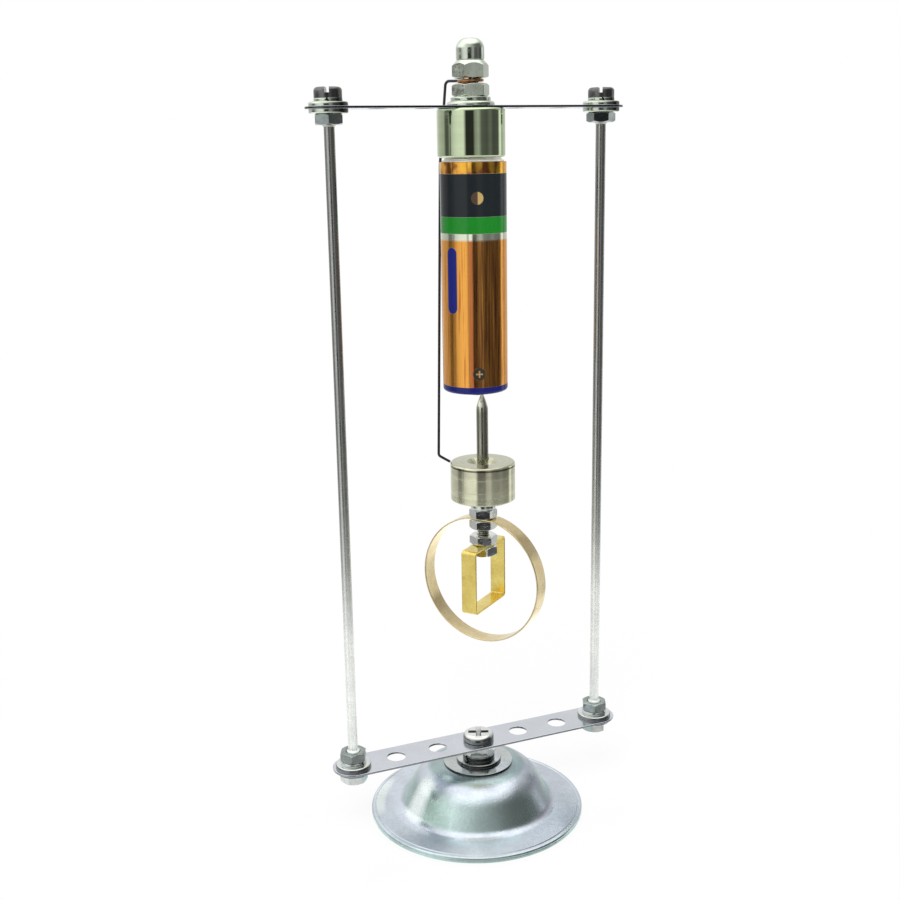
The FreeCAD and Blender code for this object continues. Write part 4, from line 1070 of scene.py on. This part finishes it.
class MOTOR_OT_nuts(bpy.types.Operator):
    """Make the hexagon nuts"""

    bl_idname = "motor.nuts"
    bl_label = "Nuts"

    def execute(self, context):
        own = sizes()
        large = (own.large_across, 2.05, own.large_pitch)
        small = (own.small_across, 1.35, own.small_pitch)
        on_post = (own.small_across, 1.5, own.small_pitch)
        table = [
            ("base_lock_nut", large, 0.0), ("base_spacer_nut", large, 7.0), ("hanger_nut", large, 19.0),
            ("magnet_clamp_nut", small, 64.0), ("round_loop_nut", small, 67.0),
            ("square_loop_nut", small, 70.0), ("rotor_end_nut", small, 52.0),
        ]
        for side, turn in (("left", 42.5), ("right", 2.0)):
            table += [
                (side + "_upper_nut", on_post, turn), (side + "_lower_nut", on_post, 35.0),
                (side + "_end_nut", on_post, 20.0),
            ]
        for node, kind, turn in table:
            make_nut(node, *kind, math.radians(turn))
        return {"FINISHED"}


class MOTOR_OT_washers(bpy.types.Operator):
    """Make the flat washers and the split washers"""

    bl_idname = "motor.washers"
    bl_label = "Washers"

    def execute(self, context):
        flat = [
            ("base_large_washer", 2.4, 0.05, 0.12), ("base_small_washer", 2.2, 0.1, 0.2),
            ("hanger_flat_washer", 2.2, 0.1, 0.6), ("rotor_washer", 1.5, 0.1, 0.1)]
        split = [
            ("base_spring_washer", 2.2, 200.0), ("hanger_spring_washer", 2.2, 60.0),
            ("rotor_spring_washer", 1.5, 70.0)]
        for side in ("left", "right"):
            for name in ("top_washer", "lower_washer"):
                flat.append((side + "_" + name, 1.65, 0.1, 0.38))
            for name in ("upper_under_washer", "lower_under_washer"):
                flat.append((side + "_" + name, 1.65, 0.38, 0.1))
            split += [(side + "_top_spring_washer", 1.65, -110.0), (side + "_lower_spring_washer", 1.65, -60.0)]
        for washer in flat:
            make_washer(*washer)
        for washer in split:
            make_spring_washer(*washer)
        return {"FINISHED"}


class MOTOR_OT_screws(bpy.types.Operator):
    """Make the base screw, the hanger screw and the cap nut"""

    bl_idname = "motor.screws"
    bl_label = "Screws and cap nut"

    def execute(self, context):
        self.make_base_screw()
        self.make_hanger_screw()
        self.make_cap_nut()
        return {"FINISHED"}

    def make_base_screw(self):
        own = sizes()
        bottom, top = Span("base_screw").bottom, Span("base_screw").top
        seat = Span("lower_strip").top
        head = soften([(3.6, seat, 0.15), (3.6, top, 1.05), (0, top)], 7)
        shape = threaded(
            BOLT_AXIS, 2.0, own.large_pitch, bottom + 0.3, seat - 0.6,
            [(0, bottom), (1.5, bottom)], [(1.98, seat - 0.5), (1.98, seat)] + head)
        piece = finish_mesh("base_screw_finished", shape, 30)
        cut(piece, cross((0, 0, top), 2.4, own.slot_width * 0.68, 1.3, math.radians(-22.6), 0.6), 30)
        soft_edges(piece, 0.05, 55)
        fit(piece, "base_screw", "base_screw")

    def make_hanger_screw(self):
        own = sizes()
        bottom, top = Span("hanger_screw").bottom, Span("hanger_screw").top
        rim = 0.2
        shape = threaded(
            BOLT_AXIS, 2.0, own.large_pitch, bottom + 3.0, top - 0.1,
            [(0, bottom), (3.7, bottom), (3.8, bottom + 0.1), (3.8, bottom + rim), (2.0, bottom + 1.8 + rim)],
            [(1.5, top), (0, top)])
        piece = finish_mesh("hanger_screw_finished", shape, 30)
        cut(piece, block((0, 0, bottom), (5, own.slot_width / 2, own.slot_depth)), 30)
        fit(piece, "hanger_screw", "fastener")

    def make_cap_nut(self):
        bottom, top = Span("hanger_cap_nut").bottom, Span("hanger_cap_nut").top
        across = sizes().cap_across
        bore, dome, hex_height, cone_top = 2.05, 2.95, 2.35, 3.4
        start, end = across * CHAMFER_START, across * 0.6

        def high_side(reach):
            return reach, bottom + hex_height + (end - reach) * (cone_top - hex_height) / (end - dome)

        rings = [
            (0, bottom + cone_top), (bore, bottom + cone_top), (bore, bottom + MOUTH), (bore + MOUTH, bottom),
            (start, bottom), chamfer(bottom, start, 1), high_side,
        ]
        rings += soften([(dome, bottom + cone_top, 0.12), (dome, top, 2.1), (0, top)], 12)
        shape = hex_turned(BOLT_AXIS, across, math.radians(19.0), rings, False)
        piece = finish_mesh("hanger_cap_nut_finished", shape, 25)
        soft_edges(piece, 0.10, 25)
        fit(piece, "hanger_cap_nut", "fastener")


class MOTOR_OT_magnets(bpy.types.Operator):
    """Make the hanger magnet and the three ring magnets of the rotor"""

    bl_idname = "motor.magnets"
    bl_label = "Magnets"

    def execute(self, context):
        bottom, top = Span("hanger_magnet").bottom, Span("hanger_magnet").top
        radius, bore, mouth = 7.2, 2.2, 3.85
        turn_piece("hanger_magnet", [
            (mouth, bottom), (radius, bottom, 0.6), (radius, top, 0.6), (bore, top),
            (bore, bottom + 2.05), (mouth, bottom + 0.4),
        ], 8, BOLT_AXIS, 160, 40, "hanger")
        radius, bore, sink, worn, fresh = 7.25, 1.6, 1.95, 0.5, 0.05
        for name, lower, upper in (("bottom", 0.3, fresh), ("middle", fresh, fresh), ("top", fresh, worn)):
            node = "rotor_magnet_" + name
            bottom, top = Span(node).bottom, Span(node).top
            corners = [(bore, bottom), (radius, bottom, lower), (radius, top, upper)]
            corners += [(bore + sink, top, 0.12), (bore, top - sink)] if name == "top" else [(bore, top)]
            turn_piece(node, corners, 6, ROTOR_AXIS, 160, 40, "rotor")
        return {"FINISHED"}


def rounded_route(points, radii):
    """Straight runs through the points, joined by arcs of the given radii."""
    steps = 12
    route = [points[0]]
    for corner, before_point, after_point, radius in zip(points[1:-1], points[:-2], points[2:], radii):
        before = (corner - before_point).normalized()
        after = (after_point - corner).normalized()
        half = before.angle(after) / 2
        trim = radius * math.tan(half)
        centre = corner + (after - before).normalized() * math.hypot(radius, trim)
        first = corner - before * trim - centre
        for k in range(steps + 1):
            angle = 2 * half * k / steps
            route.append(centre + first * math.cos(angle) + before * radius * math.sin(angle))
    route.append(points[-1])
    return route


class MOTOR_OT_contact_wire(bpy.types.Operator):
    """Bend the contact wire: an eye round the bolt, an arm and the long run down to the rotor"""

    bl_idname = "motor.contact_wire"
    bl_label = "Contact wire"

    def execute(self, context):
        radius = sizes().wire_radius
        eye, rise, eye_turn, steps = 2.5, 0.3, 310.0, 60
        eye_height = Span("hanger_nut").top + 0.05 + radius
        reach, top_angle = 7.95, 107.8
        leave = top_angle - math.degrees(math.acos(eye / reach))
        climb = math.sqrt(reach ** 2 - eye ** 2) * rise * 360 / eye_turn / (TURN * eye)

        def place(reach, angle, height, east=0.0):
            return round_point((east, 0.0), reach, math.radians(angle), height)

        route = [
            place(eye, leave - eye_turn * (1 - k / steps), eye_height + rise * k / steps) for k in range(steps)]
        route += rounded_route([
            place(eye, leave, eye_height + rise),
            place(reach, top_angle, eye_height + rise + climb),
            place(reach, 124.0, Span("hanger_magnet").bottom - 1.3),
            place(reach + 0.25, 148.8, DISCS_TOP + 1.3),
            place(7.53, 145.5, DISCS_TOP - 0.4, ROTOR_AXIS[0]),
        ], (0.9, 18.0, 0.9))
        piece = curve_piece(
            "contact_wire_finished", [[point * MM for point in route]], False, 40,
            dimensions="3D", bevel_depth=radius * MM, bevel_resolution=4, use_fill_caps=True)
        fit(piece, "contact_wire", "wire")
        return {"FINISHED"}


class MOTOR_OT_battery(bpy.types.Operator):
    """Make the battery's can, sleeve and end plate, and finish what is inside"""

    bl_idname = "motor.battery"
    bl_label = "Battery"

    def execute(self, context):
        bottom, top = Span("battery_can").bottom, Span("battery_can").top
        body = bottom + 1.0
        skin, sheet = 0.12, 0.3
        nub, nub_bore = 2.7, 2.4
        wall = LABEL_RADIUS - skin
        inner = wall - sheet
        turn_piece("battery_can", [
            (0, bottom), (nub, bottom, 0.3), (nub, body, 0.15), (wall, body, 0.6), (wall, top, 0.1),
            (inner, top, 0.1), (inner, body + sheet, 0.3), (nub_bore, body + sheet), (nub_bore, bottom + sheet),
            (0, bottom + sheet),
        ], 6, BATTERY_AXIS, 128, 35, "cell")
        turn_piece("battery_label", [
            (wall - 1.0, body - skin), (LABEL_RADIUS, body - skin, 0.72), (LABEL_RADIUS, top, 0.05),
            (wall + 0.005, top), (wall + 0.005, body, 0.6), (wall - 1.0, body),
        ], 8, BATTERY_AXIS, 160, 35, "label")
        cap = Span("battery_negative_cap")
        low, high, reach = cap.bottom, cap.top, cap.reach
        thick = 0.35
        raised = reach - 0.5
        turn_piece("battery_negative_cap", [
            (0, high - thick), (raised - thick, high - thick, 0.1), (raised - thick, low), (reach, low, 0.1),
            (reach, low + thick, 0.12), (raised, low + thick, 0.06), (raised, high, 0.2), (0, high),
        ], 4, BATTERY_AXIS, 128, 35, "cap")
        for name in ("cathode", "separator", "anode", "collector", "seal"):
            inside = frame["nodes"]["battery_" + name]
            inside.data.materials.clear()
            inside.data.materials.append(FINISH[name])
            smooth(inside.data, 35)
        return {"FINISHED"}


class MOTOR_OT_rotor_pin(bpy.types.Operator):
    """Cut the threaded pin with its rounded point"""

    bl_idname = "motor.rotor_pin"
    bl_label = "Rotor pin"

    def execute(self, context):
        bottom, top = Span("rotor_pin").bottom, Span("rotor_pin").top
        radius = 1.3
        point = [
            (radius, DISCS_TOP - 1.0), (radius, top - 3.4), (1.24, top - 3.0), (1.12, top - 2.55),
            (0.93, top - 1.95), (0.72, top - 1.35), (0.48, top - 0.75), (0.28, top - 0.3), (0.14, top - 0.07),
            (0.0, top),
        ]
        shape = threaded(
            ROTOR_AXIS, radius, sizes().small_pitch, bottom + 0.2, DISCS_TOP - 1.2,
            [(0, bottom), (radius - 0.35, bottom)], point, 56)
        fit(finish_mesh("rotor_pin_finished", shape, 25), "rotor_pin", "pin")
        return {"FINISHED"}


class MOTOR_OT_loops(bpy.types.Operator):
    """Bend the round loop and the square loop from brass band"""

    bl_idname = "motor.loops"
    bl_label = "Brass loops"

    def execute(self, context):
        self.make_round_loop()
        self.make_square_loop()
        return {"FINISHED"}

    def make_round_loop(self):
        own = sizes()
        low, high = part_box("round_loop")
        top = high.z / MM
        radius, thick, steps = 14.78, 0.35, 180
        flat = radius - 0.34
        half = math.sqrt(radius ** 2 - flat ** 2)
        start = math.atan2(flat, half)
        end = math.atan2(flat, -half) - TURN
        path = []
        for k in range(1, steps):
            angle = start + (end - start) * k / steps
            path.append((radius * math.cos(angle), radius * math.sin(angle), math.cos(angle), math.sin(angle)))
        for k in range(11):
            across = -half + 2 * half * k / 10
            lean = 0.5 * math.copysign(abs(across / half) ** 6, across) * math.cos(start)
            path.append((across, flat, *Vector((lean, 1)).normalized()))
        band_loop("round_loop", path, own.round_angle, thick, own.round_band, top - flat, top, "pale_brass")

    def make_square_loop(self):
        own = sizes()
        low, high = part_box("square_loop")
        top = high.z / MM
        side, thick, bend = 14.8, 0.4, 0.8
        half = side / 2
        path = []
        for corner in range(4):
            middle = math.pi / 4 + corner * math.pi / 2
            centre = Vector((
                math.copysign(half - bend, math.cos(middle)), math.copysign(half - bend, math.sin(middle))))
            for k in range(9):
                angle = corner * math.pi / 2 + math.pi / 2 * k / 8
                normal = Vector((math.cos(angle), math.sin(angle)))
                path.append((*(centre + normal * bend), *normal))
            turned = Vector((math.cos(middle + math.pi / 4), math.sin(middle + math.pi / 4)))
            last = Vector(path[-1][:2])
            run = Vector((-turned.y, turned.x)) * (side - 2 * bend)
            path += [(*(last + run * k / 12), *turned) for k in range(1, 12)]
        band_loop("square_loop", path, own.square_angle, thick, own.square_band, top - half, top, "brass")


class MOTOR_OT_stage(bpy.types.Operator):
    """Set the floor, the soft light, the surroundings and the camera"""

    bl_idname = "motor.stage"
    bl_label = "Stage"

    def execute(self, context):
        scene = context.scene
        scene.view_settings.view_transform = "Standard"
        self.make_floor()
        self.make_world(scene)
        self.make_lamps(scene)
        self.make_camera(scene)
        return {"FINISHED"}

    def make_floor(self):
        bpy.ops.mesh.primitive_plane_add(size=30.0, location=(0, 0, -0.00002))
        floor = bpy.context.active_object
        floor.name = "floor"
        material = bpy.data.materials.new("floor_paper")
        material.use_nodes = True
        tree = material.node_tree
        tree.nodes.clear()
        point = model_point(tree)
        tone = colours().floor
        paper = add_node(tree, "ShaderNodeBsdfDiffuse", {
            "Color": between(tree, noise(tree, point, 40.0, 2.0), rgba(tone, 0.985), rgba(tone))})
        bright = add_node(tree, "ShaderNodeEmission", {"Color": (1, 1, 1, 1), "Strength": 1.0})
        seen = add_node(tree, "ShaderNodeLightPath").outputs["Is Camera Ray"]
        away = add_node(tree, "ShaderNodeVectorMath", {0: point}, operation="LENGTH").outputs["Value"]
        share = times(tree, seen, spread(tree, away, 0.05, 0.16, 0.86, 1.0))
        mixed = add_node(tree, "ShaderNodeMixShader", {0: share, 1: paper.outputs[0], 2: bright.outputs[0]})
        add_node(tree, "ShaderNodeOutputMaterial", {0: mixed.outputs[0]})
        floor.data.materials.append(material)
        floor.visible_glossy = False

    def make_world(self, scene):
        """White to the camera, an even grey for the light, and studio walls with dark screens for reflections."""
        world = bpy.data.worlds.new("studio")
        scene.world = world
        world.use_nodes = True
        tree = world.node_tree
        tree.nodes.clear()
        parts = separate(tree, add_node(tree, "ShaderNodeTexCoord").outputs["Generated"])
        height = parts[2]
        angle = turned_from(tree, maths(tree, "ARCTAN2", parts[1], parts[0]), FRONT)
        share = spread(tree, angle, -math.pi, math.pi)

        def walls(stops):
            """Greys round the room. A stop is (degrees from the front, level)."""
            return grey_ramp(tree, share, [((degrees + 180) / 360, level) for degrees, level in stops])

        low = walls([
            (-180, 1.0), (-160, 0.85), (-140, 0.60), (-124, 0.53), (-104, 0.44), (-95, 0.10), (-84, 0.10),
            (-68, 0.60), (-60, 0.76), (-45, 0.90), (-26, 0.92), (-17, 0.03), (7, 0.03), (13, 0.30), (25, 0.44),
            (35, 0.13), (54, 0.09), (67, 0.17), (80, 0.08), (103, 0.10), (111, 0.95), (118, 0.90), (126, 0.55),
            (150, 0.60), (180, 1.0)])
        high = walls([
            (-180, 0.88), (-130, 1.0), (-100, 1.35), (-60, 1.30), (-30, 0.80), (0, 0.60), (20, 0.40), (40, 0.20),
            (60, 0.13), (92, 0.14), (112, 0.38), (135, 0.66), (180, 0.88)])
        ground = walls([(-180, 1.6), (-110, 1.0), (-50, 0.86), (50, 0.70), (110, 0.95), (180, 1.6)])
        low = between(tree, spread(tree, height, -0.50, -0.32), ground, low)
        window = times(
            tree, spread(tree, height, 0.033, 0.037), spread(tree, height, 0.060, 0.064, 1.0, 0.0))
        window = times(tree, window, walls([(-112, 0.0), (-108, 1.0), (-72, 1.0), (-68, 0.0)]))
        low = between(tree, window, low, (0.55, 0.55, 0.55, 1.0))
        sides = between(tree, spread(tree, height, 0.10, 0.24), low, high)
        studio = between(tree, spread(tree, height, 0.62, 0.86), sides, (1.5, 1.5, 1.5, 1.0))
        paths = add_node(tree, "ShaderNodeLightPath")
        plain = between(tree, paths.outputs["Is Camera Ray"], (0.55, 0.55, 0.56, 1), (1, 1, 1, 1))
        shown = between(tree, paths.outputs["Is Glossy Ray"], plain, studio)
        background = add_node(tree, "ShaderNodeBackground", {"Color": shown, "Strength": 1.0})
        add_node(tree, "ShaderNodeOutputWorld", {0: background.outputs[0]})

    def make_lamps(self, scene):
        for name, place, size, power in (
            ("key_light", (-0.35, -0.45, 0.75), 0.5, 4.2),
            ("fill_light", (0.6, -0.3, 0.4), 0.5, 1.4),
            ("back_light", (0.1, 0.7, 0.6), 0.6, 2.0),
        ):
            lamp = bpy.data.lights.new(name, "AREA")
            lamp.shape = "DISK"
            lamp.size = size
            lamp.energy = power
            holder = bpy.data.objects.new(name, lamp)
            scene.collection.objects.link(holder)
            holder.location = place
            holder.visible_glossy = False
            aim = Vector((0, 0, 0.08)) - Vector(place)
            holder.rotation_euler = aim.to_track_quat("-Z", "Y").to_euler()

    def make_camera(self, scene):
        place = (-0.1085477, -0.2456130, 0.1533596)
        pan, pitch, roll = math.radians(22.656), math.radians(13.760), math.radians(-0.985)
        ahead = Vector((math.sin(pan), math.cos(pan), 0))
        right = Vector((math.cos(pan), -math.sin(pan), 0))
        upright = Vector((0, 0, 1))
        forward = ahead * math.cos(pitch) - upright * math.sin(pitch)
        up = upright * math.cos(pitch) + ahead * math.sin(pitch)
        side = right * math.cos(roll) + up * math.sin(roll)
        top = up * math.cos(roll) - right * math.sin(roll)
        data = bpy.data.cameras.new("camera")
        data.sensor_width = 36.0
        data.lens = 49.596
        data.clip_start = 0.01
        camera = bpy.data.objects.new("camera", data)
        scene.collection.objects.link(camera)
        rotation = Matrix((side, top, -forward)).transposed().to_4x4()
        camera.matrix_world = Matrix.Translation(place) @ rotation
        scene.camera = camera


STEPS = (
    MOTOR_OT_finishes, MOTOR_OT_base_dish, MOTOR_OT_strips, MOTOR_OT_posts, MOTOR_OT_nuts, MOTOR_OT_washers,
    MOTOR_OT_screws, MOTOR_OT_magnets, MOTOR_OT_contact_wire, MOTOR_OT_battery, MOTOR_OT_rotor_pin,
    MOTOR_OT_loops, MOTOR_OT_stage,
)


class MOTOR_PT_panel(bpy.types.Panel):
    """Lists the steps that build the motor"""

    bl_label = "Demonstration motor"
    bl_idname = "MOTOR_PT_panel"
    bl_space_type = "VIEW_3D"
    bl_region_type = "UI"
    bl_category = "Motor"

    def draw(self, context):
        for step in STEPS:
            self.layout.operator(step.bl_idname)
        for group in (context.scene.motor_sizes, context.scene.motor_colours):
            box = self.layout.box()
            for name in group.__annotations__:
                box.prop(group, name)


CLASSES = (MotorSizes, MotorColours) + STEPS + (MOTOR_PT_panel,)


def register():
    for item in CLASSES:
        bpy.utils.register_class(item)
    bpy.types.Scene.motor_sizes = bpy.props.PointerProperty(type=MotorSizes)
    bpy.types.Scene.motor_colours = bpy.props.PointerProperty(type=MotorColours)


def unregister():
    del bpy.types.Scene.motor_colours
    del bpy.types.Scene.motor_sizes
    for item in reversed(CLASSES):
        bpy.utils.unregister_class(item)


def main():
    register()
    for step in STEPS:
        family, action = step.bl_idname.split(".")
        getattr(getattr(bpy.ops, family), action)()


if __name__ == "__main__":
    main()
